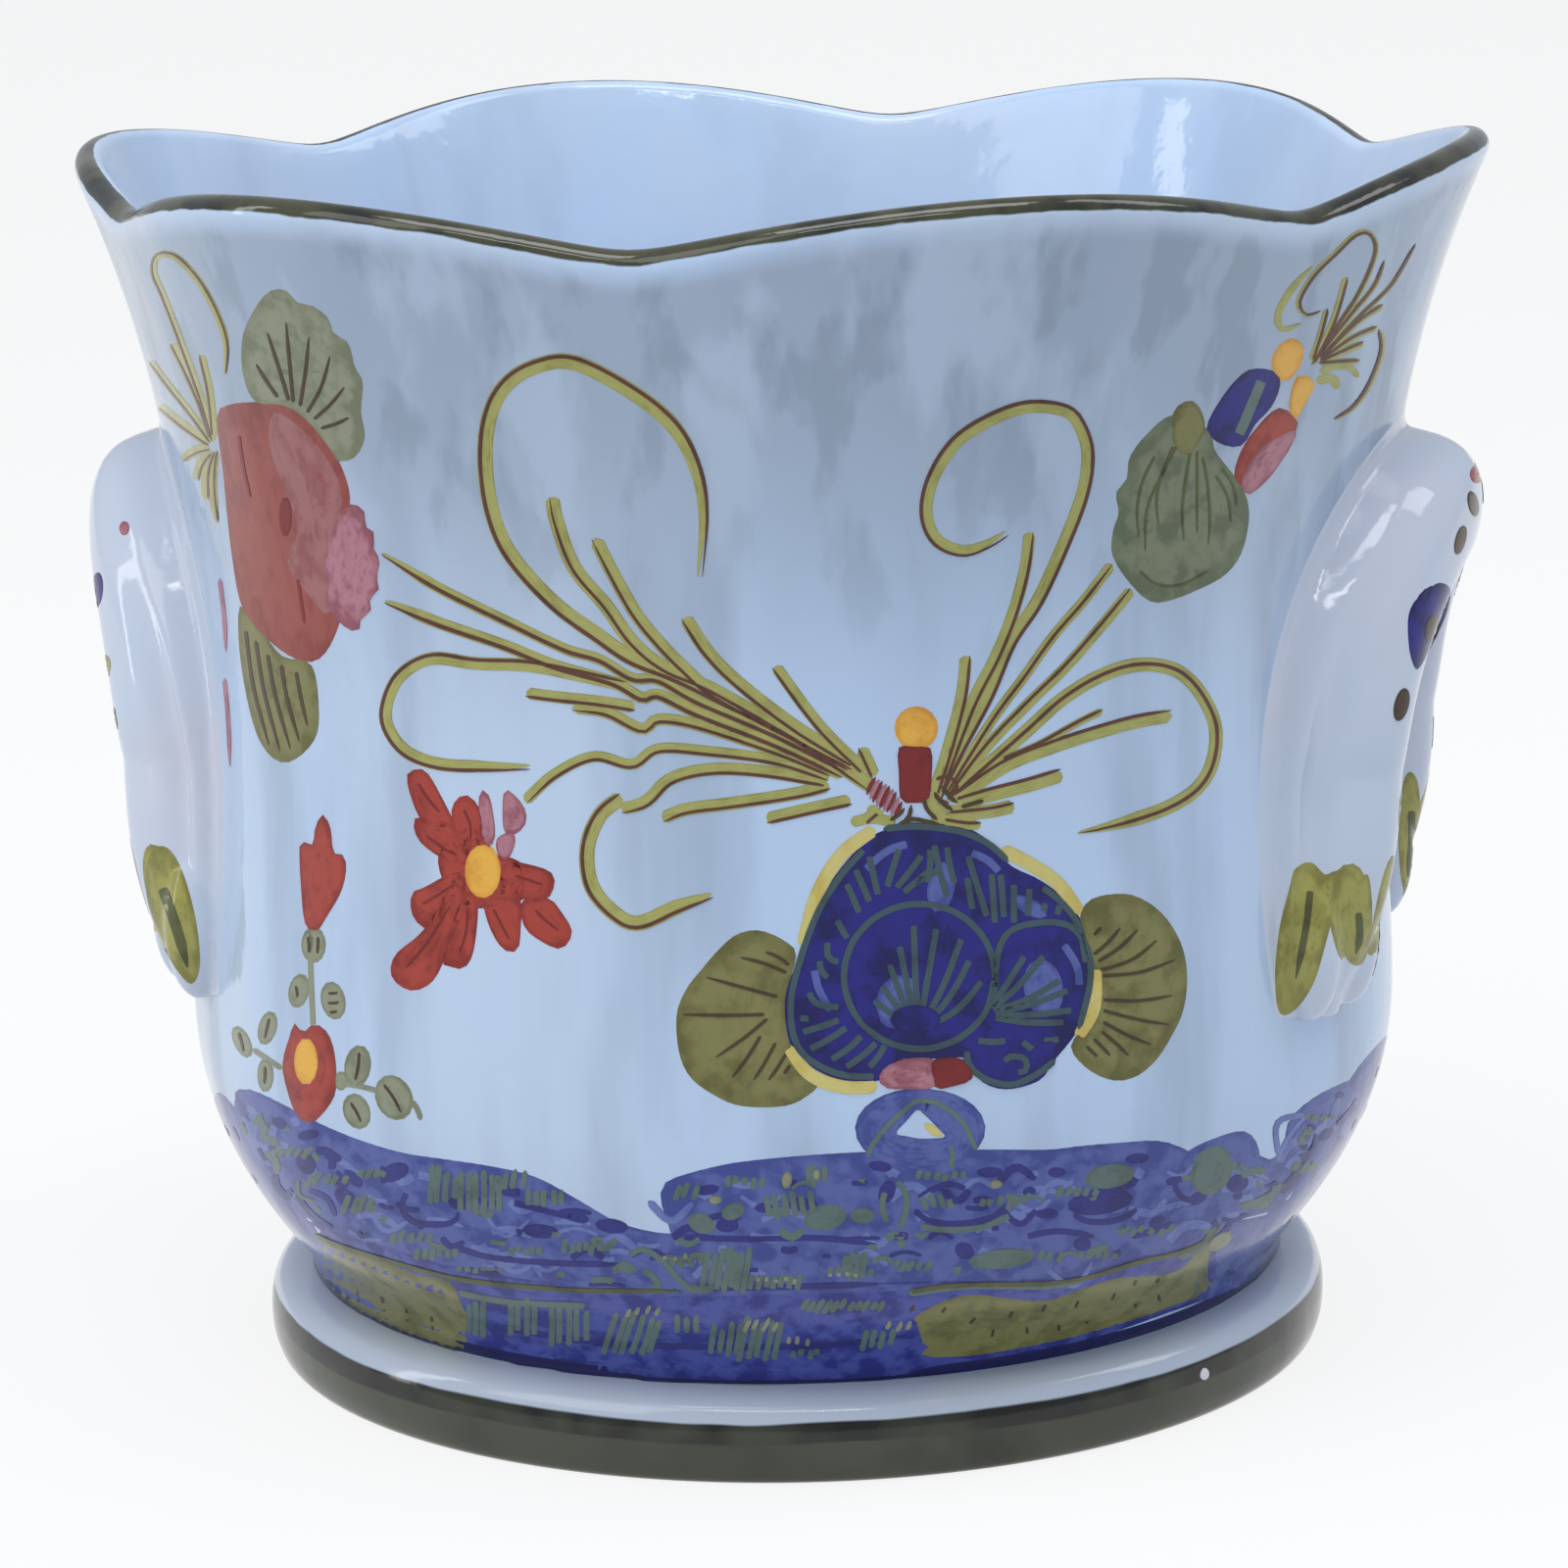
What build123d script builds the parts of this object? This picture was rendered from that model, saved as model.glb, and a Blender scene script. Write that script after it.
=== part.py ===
from build123d import *
from math import atan, cos, hypot, pi, sin, sqrt
import os

# Cachepot of tin-glazed earthenware: a flared bowl with a six-lobed, scalloped rim, a ring foot
# luted below it and two arched strap handles luted to its wall, each ending in leaf tips.
# Millimetres, +Z up. The origin is the middle of the resting face of the foot, the handles
# lie on the X axis, and a valley of the rim faces -Y.

# Rim: heights are of the lip's crest, radii are of the outer wall, mean of lobes and valleys
lobes = 6
rim_height = 214.6
rim_rise = 7.6
rim_radius = 124.0
rim_lobe = 2.4
valley_softness_share = 0.16

# Body, from the neck on the foot up to the flare
neck_radius = 90.4
neck_height = 6.4
neck_flare = 2.2
belly_radius = 110.4
belly_height = 66.0
belly_lobe = 0.9
waist_radius = 108.2
waist_height = 120.0
wall_thickness = 6.0
heel_thickness = 12.0
floor_thickness = 8.0

# Foot ring
foot_height = 15.6
foot_radius = 98.4
foot_base_inset = 1.2
foot_wall = 18.0
foot_shoulder_height = 11.6
foot_shoulder_inset = 0.5

# Handles: the strap's middle line, measured round the wall from the X axis and up from the base
handle_spread = 36.0
handle_crown_height = 157.5
handle_shoulder_height = 115.0
handle_tip_height = 74.0
handle_splay = 6.0
handle_depth = 16.4
handle_leg_depth = 13.2
handle_tip_depth = 3.0
left_handle_angle = 184.0
strap_inner_width = 13.0
strap_crown_outer_width = 11.6
strap_leg_outer_width = 16.0
strap_tip_share = 0.55
handle_root_share = 0.5

# Leaf lobes at the end of each leg
leaf_length = 29.0
leaf_width = 13.0
leaf_height = 86.0
leaf_spacing = 13.0
leaf_offset = 10.0
leaf_lift = 1.0

# Shape shares
belly_roundness_share = 2.15
flare_sharpness_share = 2.4
lobe_growth_share = 1.6
leg_fall_share = 2.6
neck_step_shares = (0.0, 0.35, 0.7, 1.0)
belly_step_shares = (0.12, 0.26, 0.42, 0.6, 0.8, 1.0)
waist_step_shares = (0.33, 0.67, 1.0)
flare_step_shares = (0.2, 0.4, 0.6, 0.8, 1.0)
hollow_step_shares = (0.0, 0.12, 0.3, 0.6, 1.0)
leg_station_shares = (1.0, 0.8, 0.55, 0.28)
valley_step_shares = (-1.0, -0.9, -0.7, -0.45, -0.25, -0.1, 0.0, 0.1, 0.25, 0.45, 0.7, 0.9)
crown_station_shares = (-1.0, -0.8, -0.6, -0.4, -0.2, 0.0, 0.2, 0.4, 0.6, 0.8, 1.0)

# Strap outline from its inner edge to its outer root: shares of the width there and of the depth
crown_across_shares = (-1.0, -0.98, -0.8, -0.15, 0.52, 0.9, 1.0)
crown_depth_shares = (0.0, 0.55, 0.9, 1.0, 0.9, 0.6, 0.0)
leg_across_shares = (-1.0, -0.96, -0.7, -0.15, 0.4, 0.76, 1.0)
leg_depth_shares = (0.0, 0.5, 0.88, 1.0, 0.74, 0.32, 0.0)

full_turn = 2 * pi
lobe_turn = full_turn / lobes
neck_top = foot_height + neck_height
floor_height = foot_height + floor_thickness


def wall_radius(height):
    """Mean outer radius of the wall at a height."""
    swell = belly_radius - neck_radius - neck_flare
    if height < neck_top:
        belly_slope = swell * belly_roundness_share / (belly_height - neck_top)
        power = belly_slope * neck_height / neck_flare
        return neck_radius + neck_flare * ((height - foot_height) / neck_height) ** power
    if height < belly_height:
        left = (belly_height - height) / (belly_height - neck_top)
        return belly_radius - swell * left ** belly_roundness_share
    if height < waist_height:
        rise = (height - belly_height) / (waist_height - belly_height)
        return waist_radius + (belly_radius - waist_radius) * (1 + cos(pi * rise)) / 2
    rise = (height - waist_height) / (rim_height - waist_height)
    return waist_radius + (rim_radius - waist_radius) * rise ** flare_sharpness_share


def lobe_swell(height):
    """How far the lobes stand out from the mean radius at a height, fading out at the neck."""
    if height < neck_top:
        return 0.0
    if height < belly_height:
        return belly_lobe * (height - neck_top) / (belly_height - neck_top)
    if height < waist_height:
        return belly_lobe
    rise = (height - waist_height) / (rim_height - waist_height)
    return belly_lobe + (rim_lobe - belly_lobe) * rise ** lobe_growth_share


def outer_radius(angle, height):
    """Outer radius of the lobed wall, lobes standing at angle zero and every lobe turn."""
    return wall_radius(height) + lobe_swell(height) * cos(lobes * angle)


def wall_depth(height):
    """Wall thickness, thicker at the heel above the floor."""
    left = max(0.0, (belly_height - height) / (belly_height - floor_height))
    return wall_thickness + (heel_thickness - wall_thickness) * left ** 2


def crest_height(angle):
    """Height of the middle of the lip: broad lobes with soft, narrow valleys between."""
    from_valley = sin(lobes * (angle - lobe_turn / 2) / 2)
    wave = hypot(from_valley, valley_softness_share) - valley_softness_share
    full_wave = hypot(1, valley_softness_share) - valley_softness_share
    return rim_height - wall_thickness / 2 + rim_rise * wave / full_wave


def flare_heights(top):
    """Heights of the section's points from the waist up to a top."""
    return [waist_height + share * (top - waist_height) for share in flare_step_shares]


def wall_section(angle):
    """Outline of the wall cut at an angle: outer side, middle and top of the lip, inner side."""
    crest = crest_height(angle)
    middle = outer_radius(angle, crest) - wall_thickness / 2
    rise = (crest - waist_height) / (rim_height - waist_height)
    lean = atan(
        (rim_radius - waist_radius)
        * flare_sharpness_share
        * rise ** (flare_sharpness_share - 1)
        / (rim_height - waist_height)
    )
    lip = wall_thickness / 2 * cos(lean)
    outer_end = crest - lip * sin(lean)
    inner_end = crest + lip * sin(lean)
    outer_heights = body_heights + flare_heights(outer_end)
    outer_side = [(outer_radius(angle, height), height) for height in outer_heights]
    inner_heights = hollow_heights + flare_heights(inner_end)
    inner_side = [(outer_radius(angle, height) - wall_depth(height), height) for height in inner_heights]
    lip_top = (middle + lip * sin(lean), crest + lip * cos(lean))
    return outer_side, lip_top, inner_side


# Heights that the wall's sections share, from the neck up to the waist
body_heights = [foot_height + share * neck_height for share in neck_step_shares]
body_heights += [neck_top + share * (belly_height - neck_top) for share in belly_step_shares]
body_heights += [belly_height + share * (waist_height - belly_height) for share in waist_step_shares]
hollow_heights = [floor_height + share * (belly_height - floor_height) for share in hollow_step_shares]
hollow_heights += [belly_height + share * (waist_height - belly_height) for share in waist_step_shares]


def run_shares(points):
    """Share of the way along a run of points at which each point lies."""
    lengths = [0.0]
    for before, after in zip(points, points[1:]):
        lengths.append(lengths[-1] + hypot(after[0] - before[0], after[1] - before[1]))
    return [length / lengths[-1] for length in lengths]


# Angles of the sections, closer together at the valleys of the rim
section_angles = []
for valley in range(lobes // 2):
    valley_angle = pi + lobe_turn * (valley + 1 / 2)
    for share in valley_step_shares:
        section_angles.append(valley_angle + share * lobe_turn / 2)
section_angles.append(full_turn)

# Bowl: the front half of the wall lofted round through its sections, mirrored, with the floor
floor_radius = neck_radius - heel_thickness - foot_height

outer_run_shares = run_shares(wall_section(full_turn)[0])
inner_run_shares = run_shares(wall_section(full_turn)[2])

with BuildPart() as bowl:
    for angle in section_angles:
        outer_side, lip_top, inner_side = wall_section(angle)
        cut = Plane(origin=(0, 0, 0), x_dir=(cos(angle), sin(angle), 0), z_dir=(sin(angle), -cos(angle), 0))
        with BuildSketch(cut):
            with BuildLine():
                add(Edge.make_spline(outer_side, parameters=outer_run_shares))
                ThreePointArc(outer_side[-1], lip_top, inner_side[-1])
                add(Edge.make_spline(inner_side, parameters=inner_run_shares))
                Polyline(
                    inner_side[0],
                    (floor_radius, floor_height),
                    (floor_radius, foot_height),
                    outer_side[0],
                )
            make_face()
    loft()
    mirror(about=Plane.XZ)
    with BuildSketch(Plane.XY.offset(foot_height)):
        Circle(floor_radius + floor_thickness)
    extrude(amount=floor_thickness)
bowl.part.label = "bowl"

# Foot ring, under the bowl's flat bottom
foot_base_radius = foot_radius - foot_base_inset
foot_inner_radius = foot_radius - foot_wall
foot_shoulder_radius = foot_radius - foot_shoulder_inset
foot_round = (foot_height - foot_shoulder_height) / 4

with BuildPart() as foot_ring:
    with BuildSketch(Plane.XZ):
        with BuildLine():
            Spline(
                (foot_base_radius, 0),
                (foot_radius, foot_shoulder_height / 2),
                (foot_shoulder_radius, foot_shoulder_height),
                ((foot_shoulder_radius + neck_radius) / 2, foot_height - foot_round / 2),
                (neck_radius, foot_height),
                tangents=[(foot_base_inset, foot_shoulder_height / 2), (-1, 0)],
            )
            Polyline(
                (neck_radius, foot_height),
                (foot_inner_radius, foot_height),
                (foot_inner_radius, 0),
                (foot_base_radius, 0),
            )
        make_face()
    revolve(axis=Axis.Z)
foot_ring.part.label = "foot_ring"


def strap_point(lateral, height):
    """Point on the wall at an arc length from the X axis and a height."""
    angle = lateral / waist_radius
    radius = outer_radius(angle, height)
    return Vector(radius * cos(angle), radius * sin(angle), height)


def wall_normal(lateral, height):
    """Direction square to the wall, outwards, at an arc length from the X axis and a height."""
    step = wall_thickness / 2
    round_wall = strap_point(lateral + step, height) - strap_point(lateral - step, height)
    up_wall = strap_point(lateral, height + step) - strap_point(lateral, height - step)
    return round_wall.cross(up_wall).normalized()


def leg_station(side, share):
    """Station down the leg on one side: arc length from the X axis, height, depth and leg share."""
    lateral = side * (handle_spread + handle_splay * share)
    height = handle_shoulder_height + (handle_tip_height - handle_shoulder_height) * share
    depth = handle_tip_depth + (handle_leg_depth - handle_tip_depth) * (1 - share ** leg_fall_share)
    return lateral, height, depth, 1 + share


def crown_station(share):
    """Station over the crown, from one shoulder at minus one to the other at one."""
    turn = share * pi / 2
    lateral = handle_spread * sin(turn)
    height = handle_shoulder_height + (handle_crown_height - handle_shoulder_height) * cos(turn)
    depth = handle_leg_depth + (handle_depth - handle_leg_depth) * sqrt(max(0.0, cos(turn)))
    return lateral, height, depth, abs(share)


def strap_outline(depth, leg_share):
    """Strap section at a station: a blend of the crown's and the leg's outline, narrower at the tip."""
    blend = min(1.0, leg_share)
    narrowing = 1 - (1 - strap_tip_share) * max(0.0, leg_share - 1) ** 2
    outer_width = strap_crown_outer_width + (strap_leg_outer_width - strap_crown_outer_width) * blend
    outline = []
    for index, crown_across in enumerate(crown_across_shares):
        across = crown_across + (leg_across_shares[index] - crown_across) * blend
        crown_up = crown_depth_shares[index]
        up = crown_up + (leg_depth_shares[index] - crown_up) * blend
        width = outer_width if across > 0 else strap_inner_width
        outline.append((across * width * narrowing, up * depth))
    return outline


# Handle form: a strap lofted along its arch, with leaf lobes, before the wall trims it
stations = [leg_station(-1, share) for share in leg_station_shares]
stations += [crown_station(share) for share in crown_station_shares]
stations += [leg_station(1, share) for share in reversed(leg_station_shares)]
outline_run_shares = run_shares(strap_outline(handle_leg_depth, 1.0))
handle_root = handle_root_share * wall_thickness

with BuildPart() as handle_form:
    for index, (lateral, height, depth, leg_share) in enumerate(stations):
        before = stations[max(0, index - 1)]
        after = stations[min(len(stations) - 1, index + 1)]
        here = strap_point(lateral, height)
        along = (strap_point(after[0], after[1]) - strap_point(before[0], before[1])).normalized()
        sideways = wall_normal(lateral, height).cross(along)
        outline = strap_outline(depth, leg_share)
        with BuildSketch(Plane(origin=here, x_dir=sideways, z_dir=along)):
            with BuildLine():
                add(Edge.make_spline(outline, parameters=outline_run_shares))
                Polyline(
                    outline[-1],
                    (outline[-1][0], -handle_root),
                    (outline[0][0], -handle_root),
                    outline[0],
                )
            make_face()
    loft()
    for side in (-1, 1):
        for offset in (0, leaf_spacing):
            lateral = side * (handle_spread + leaf_offset - offset)
            upper = strap_point(lateral, leaf_height + leaf_length / 2)
            lower = strap_point(lateral, leaf_height - leaf_length / 2)
            along = (upper - lower).normalized()
            out = wall_normal(lateral, leaf_height)
            middle = (upper + lower) / 2 + out * leaf_lift
            leaf_plane = Plane(origin=middle, x_dir=along, z_dir=out)
            with BuildSketch(leaf_plane):
                Ellipse(leaf_length / 2, leaf_width / 2)
            extrude(amount=-leaf_lift - handle_root)
            with BuildSketch(leaf_plane):
                Ellipse(leaf_length / 2, leaf_width / 2)
                Rectangle(leaf_length, leaf_width, align=(Align.CENTER, Align.MAX), mode=Mode.SUBTRACT)
            revolve(axis=Axis(middle, leaf_plane.x_dir), revolution_arc=180)

# Handles: the form turned to each side and trimmed by the wall that it sits on
with BuildPart() as handle_right:
    add(handle_form.part)
    add(bowl.part, mode=Mode.SUBTRACT)
handle_right.part.label = "handle_right"

with BuildPart() as handle_left:
    with PolarLocations(0, 1, start_angle=left_handle_angle):
        add(handle_form.part)
    add(bowl.part, mode=Mode.SUBTRACT)
handle_left.part.label = "handle_left"

os.makedirs("parts", exist_ok=True)
for piece in (bowl, foot_ring, handle_left, handle_right):
    export_step(piece.part, f"parts/{piece.part.label}.step")
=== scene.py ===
"""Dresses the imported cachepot: a lobed, glazed bowl on a ring foot, with two applied handles.

Lengths are in metres and heights are above the foot's resting face. The painted flowers are
thin films of pigment laid on the glaze. Their control points are pixels of the 1600 x 1600
photograph, cast through its camera onto the surface that carries them.
"""

import logging
import math
import random
from dataclasses import dataclass, field
from enum import Enum
from functools import cache
from typing import Callable, Iterable, Sequence

import bmesh
import bpy
from mathutils import Matrix, Vector
from mathutils.bvhtree import BVHTree
from mathutils.interpolate import poly_3d_calc


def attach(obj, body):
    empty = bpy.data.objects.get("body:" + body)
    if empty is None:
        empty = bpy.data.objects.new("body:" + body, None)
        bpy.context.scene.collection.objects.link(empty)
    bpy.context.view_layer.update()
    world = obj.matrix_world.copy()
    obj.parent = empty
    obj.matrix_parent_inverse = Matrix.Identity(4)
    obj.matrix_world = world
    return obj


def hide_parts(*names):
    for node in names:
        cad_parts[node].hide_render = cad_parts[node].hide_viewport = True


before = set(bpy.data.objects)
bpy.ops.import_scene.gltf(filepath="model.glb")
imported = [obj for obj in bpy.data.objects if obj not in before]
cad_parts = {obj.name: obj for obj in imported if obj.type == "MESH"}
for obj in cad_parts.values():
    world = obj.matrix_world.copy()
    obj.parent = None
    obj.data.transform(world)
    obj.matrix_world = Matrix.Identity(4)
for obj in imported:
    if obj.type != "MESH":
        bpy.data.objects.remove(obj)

LOG = logging.getLogger("cachepot")
BODY = "root"
MM = 0.001

Point = tuple[float, float]
Point3 = tuple[float, float, float]
Colour = tuple[int, int, int]
Spot = tuple[Vector, Vector]
Flat = tuple[float, float, float, float, float]
Section = list[tuple[float, float, float]]
Socket = bpy.types.NodeSocket
Shape = bmesh.types.BMesh

CURVE_STEPS = 12  # steps between two control points of a curve
OVAL_POINTS = 12  # control points of an oval
SLACK_STEPS = 7  # steps by which a point beside a surface is moved onto it
CLEAR_OF_WALL = 0.05  # far enough out to be clear of a handle
SAME_PLACE = 1e-6  # places nearer than this are one


def linear(colour: Colour) -> tuple[float, float, float, float]:
    """Turns a colour as seen on screen, 0 to 255, into a linear one with full alpha.

    Args:
        colour: Red, green and blue, 0 to 255.

    Returns:
        The linear colour and alpha that a shader's socket takes.
    """
    shares = [level / 255 for level in colour]
    lit = [s / 12.92 if s <= 0.04045 else ((s + 0.055) / 1.055) ** 2.4 for s in shares]
    return (lit[0], lit[1], lit[2], 1.0)


def smooth_run(points: Sequence[Point], step: float, closed: bool = False) -> list[Vector]:
    """Spaces points evenly along a smooth curve through control points.

    Args:
        points: The control points.
        step: Spacing of the points that are returned, nearly.
        closed: Whether the curve comes back to its first point.

    Returns:
        The points, from the first control point to the last, or once round.
    """
    knots = [Vector(point) for point in points]
    count = len(knots)
    dense: list[Vector] = []
    for index in range(count if closed else count - 1):
        if closed:
            a, b, c, d = (knots[(index + shift) % count] for shift in (-1, 0, 1, 2))
        else:
            b, c = knots[index], knots[index + 1]
            a = knots[index - 1] if index else b * 2 - c
            d = knots[index + 2] if index + 2 < count else c * 2 - b
        for part in range(CURVE_STEPS):
            t = part / CURVE_STEPS
            dense.append(
                b
                + (c - a) * (t / 2)
                + (a * 2 - b * 5 + c * 4 - d) * (t * t / 2)
                + (b * 3 - a - c * 3 + d) * (t * t * t / 2)
            )
    dense.append(knots[0] if closed else knots[-1])
    runs = [0.0]
    for before, after in zip(dense, dense[1:]):
        runs.append(runs[-1] + (after - before).length)
    pieces = max(3, round(runs[-1] / step))
    spaced: list[Vector] = []
    at = 0
    for piece in range(pieces + 1):
        wanted = runs[-1] * piece / pieces
        while at < len(runs) - 2 and runs[at + 1] < wanted:
            at += 1
        share = (wanted - runs[at]) / max(1e-9, runs[at + 1] - runs[at])
        spaced.append(dense[at].lerp(dense[at + 1], min(1.0, max(0.0, share))))
    return spaced


def run_length(points: Sequence[Vector]) -> float:
    """Length of a run of points."""
    return sum((after - before).length for before, after in zip(points, points[1:]))


def at_share(line: Sequence[Vector], share: float) -> Vector:
    """Finds a place along evenly spaced points.

    Args:
        line: The points.
        share: Share of the way from the first to the last.

    Returns:
        The place.
    """
    at = min(1.0, max(0.0, share)) * (len(line) - 1)
    low = min(len(line) - 2, int(at))
    return line[low].lerp(line[low + 1], at - low)


def rows(text: str) -> tuple[tuple[float, ...], ...]:
    """Reads rows of numbers, with commas inside a row and spaces between rows."""
    return tuple(tuple(float(number) for number in row.split(",")) for row in text.split())


def way(text: str) -> tuple[Point, ...]:
    """Reads a run of control points that is written as x,y pairs."""
    return tuple((x, y) for x, y in rows(text))


def ways(text: str) -> tuple[tuple[Point, ...], ...]:
    """Reads several runs of control points, with a slash between them."""
    return tuple(way(part) for part in text.split("/"))


def ring(x: float, y: float, across: float, up: float, lean: float = 0.0) -> tuple[Point, ...]:
    """Gives control points round an oval.

    Args:
        x: Its middle, across.
        y: Its middle, up or down.
        across: Half of its width.
        up: Half of its height.
        lean: How far it is turned, in degrees.

    Returns:
        The points.
    """
    turn = math.radians(lean)
    points: list[Point] = []
    for part in range(OVAL_POINTS):
        wide = across * math.cos(math.tau * part / OVAL_POINTS)
        high = up * math.sin(math.tau * part / OVAL_POINTS)
        right = x + wide * math.cos(turn) - high * math.sin(turn)
        down = y + wide * math.sin(turn) + high * math.cos(turn)
        points.append((right, down))
    return tuple(points)


def spaced(start: float, reach: float, count: int, last: bool = False) -> list[float]:
    """Splits a reach into equal steps, with or without the last one."""
    return [start + reach * step / count for step in range(count + last)]


def turned(shape: Shape, section: Sequence[Point], steps: int, closed: bool = False) -> None:
    """Turns a section about the Z axis.

    Args:
        shape: The shape that gets the turned surface.
        section: Radius and height of each of its points.
        steps: How many steps make the full turn.
        closed: Whether the section comes back to its first point.
    """
    verts = [shape.verts.new((radius, 0.0, height)) for radius, height in section]
    ends = verts[1:] + verts[:1] if closed else verts[1:]
    sides = [shape.edges.new(pair) for pair in zip(verts, ends)]
    bmesh.ops.spin(
        shape,
        geom=verts + sides,
        cent=(0, 0, 0),
        axis=(0, 0, 1),
        angle=math.tau,
        steps=steps,
        use_merge=True,
    )


def pour(bit: Shape, whole: Shape) -> None:
    """Adds a shape to another and frees it.

    Args:
        bit: The shape that is added.
        whole: The shape that gets it.
    """
    mesh = bpy.data.meshes.new("bit")
    bit.to_mesh(mesh)
    bit.free()
    whole.from_mesh(mesh)
    bpy.data.meshes.remove(mesh)


def placed(name: str, data: bpy.types.ID) -> bpy.types.Object:
    """Puts a mesh, a lamp or a camera into the scene.

    Args:
        name: Name of the object.
        data: What it shows.

    Returns:
        The new object.
    """
    item = bpy.data.objects.new(name, data)
    bpy.context.scene.collection.objects.link(item)
    return item


@dataclass(frozen=True)
class PotForm:
    """The wall's shape: a surface of turning with lobes, the same as the bowl's solid."""

    lobes: int = 6
    rim_height: float = 0.2146
    rim_rise: float = 0.0076
    rim_radius: float = 0.124
    rim_lobe: float = 0.0024
    valley_softness: float = 0.16
    neck_radius: float = 0.0904
    neck_height: float = 0.0064
    neck_flare: float = 0.0022
    belly_radius: float = 0.1104
    belly_height: float = 0.066
    belly_lobe: float = 0.0009
    belly_roundness: float = 2.15
    waist_radius: float = 0.1082
    waist_height: float = 0.120
    wall: float = 0.006
    heel: float = 0.012
    floor: float = 0.008
    foot_height: float = 0.0156
    flare_sharpness: float = 2.4
    lobe_growth: float = 1.6

    @property
    def neck_top(self) -> float:
        """Height at which the neck turns into the belly."""
        return self.foot_height + self.neck_height

    @property
    def floor_height(self) -> float:
        """Height of the floor inside."""
        return self.foot_height + self.floor

    def flare(self, height: float) -> float:
        """Share of the way up the flare at a height."""
        return (height - self.waist_height) / (self.rim_height - self.waist_height)

    def mean_radius(self, height: float) -> float:
        """Gives the outer radius, mean of lobes and valleys.

        Args:
            height: Height above the resting face.

        Returns:
            The radius in metres.
        """
        swell = self.belly_radius - self.neck_radius - self.neck_flare
        if height < self.neck_top:
            slope = swell * self.belly_roundness / (self.belly_height - self.neck_top)
            power = slope * self.neck_height / self.neck_flare
            rise = max(0.0, (height - self.foot_height) / self.neck_height)
            return self.neck_radius + self.neck_flare * rise**power
        if height < self.belly_height:
            left = (self.belly_height - height) / (self.belly_height - self.neck_top)
            return self.belly_radius - swell * left**self.belly_roundness
        if height < self.waist_height:
            rise = (height - self.belly_height) / (self.waist_height - self.belly_height)
            gain = (1 + math.cos(math.pi * rise)) / 2
            return self.waist_radius + (self.belly_radius - self.waist_radius) * gain
        gain = self.flare(height) ** self.flare_sharpness
        return self.waist_radius + (self.rim_radius - self.waist_radius) * gain

    def lobe_swell(self, height: float) -> float:
        """Gives how far the lobes stand out from the mean radius.

        Args:
            height: Height above the resting face.

        Returns:
            The swell in metres, nothing at the neck.
        """
        if height < self.neck_top:
            return 0.0
        if height < self.belly_height:
            return self.belly_lobe * (height - self.neck_top) / (self.belly_height - self.neck_top)
        if height < self.waist_height:
            return self.belly_lobe
        growth = self.flare(height) ** self.lobe_growth
        return self.belly_lobe + (self.rim_lobe - self.belly_lobe) * growth

    def outer_radius(self, angle: float, height: float) -> float:
        """Outer radius at an angle from the X axis and a height."""
        return self.mean_radius(height) + self.lobe_swell(height) * math.cos(self.lobes * angle)

    def depth(self, height: float) -> float:
        """Thickness of the wall at a height, more at the heel."""
        left = max(0.0, (self.belly_height - height) / (self.belly_height - self.floor_height))
        return self.wall + (self.heel - self.wall) * left**2

    def crest(self, angle: float) -> float:
        """Gives the height of the middle of the lip.

        Args:
            angle: Angle from the X axis, in radians.

        Returns:
            The height in metres: broad lobes with narrow valleys between.
        """
        soft = self.valley_softness
        from_valley = math.sin(self.lobes * angle / 2 - math.pi / 2)
        wave = math.hypot(from_valley, soft) - soft
        whole = math.hypot(1, soft) - soft
        return self.rim_height - self.wall / 2 + self.rim_rise * wave / whole

    def lean(self, height: float) -> float:
        """Gives the angle by which the flare leans outwards.

        Args:
            height: Height above the resting face.

        Returns:
            The angle in radians.
        """
        rise = self.flare(height) ** (self.flare_sharpness - 1)
        gain = (self.rim_radius - self.waist_radius) * self.flare_sharpness * rise
        return math.atan(gain / (self.rim_height - self.waist_height))

    def point(self, angle: float, height: float) -> Vector:
        """Point of the outer wall at an angle and a height."""
        radius = self.outer_radius(angle, height)
        return Vector((radius * math.cos(angle), radius * math.sin(angle), height))

    def normal(self, angle: float, height: float) -> Vector:
        """Gives the direction square to the outer wall.

        Args:
            angle: Angle from the X axis, in radians.
            height: Height above the resting face.

        Returns:
            The direction, outwards.
        """
        step = self.wall / 2
        turn = step / self.waist_radius
        round_wall = self.point(angle + turn, height) - self.point(angle - turn, height)
        up_wall = self.point(angle, height + step) - self.point(angle, height - step)
        return round_wall.cross(up_wall).normalized()


@dataclass(frozen=True)
class Grain:
    """A noise and how much of it shows.

    Its scale is in cells to a metre, and detail adds finer octaves. Values from low to high
    spread from nothing to the strongest share. Under 1, upright draws the cells out upwards.
    """

    scale: float
    detail: float
    low: float
    high: float
    most: float = 1.0
    upright: float = 1.0


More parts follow.
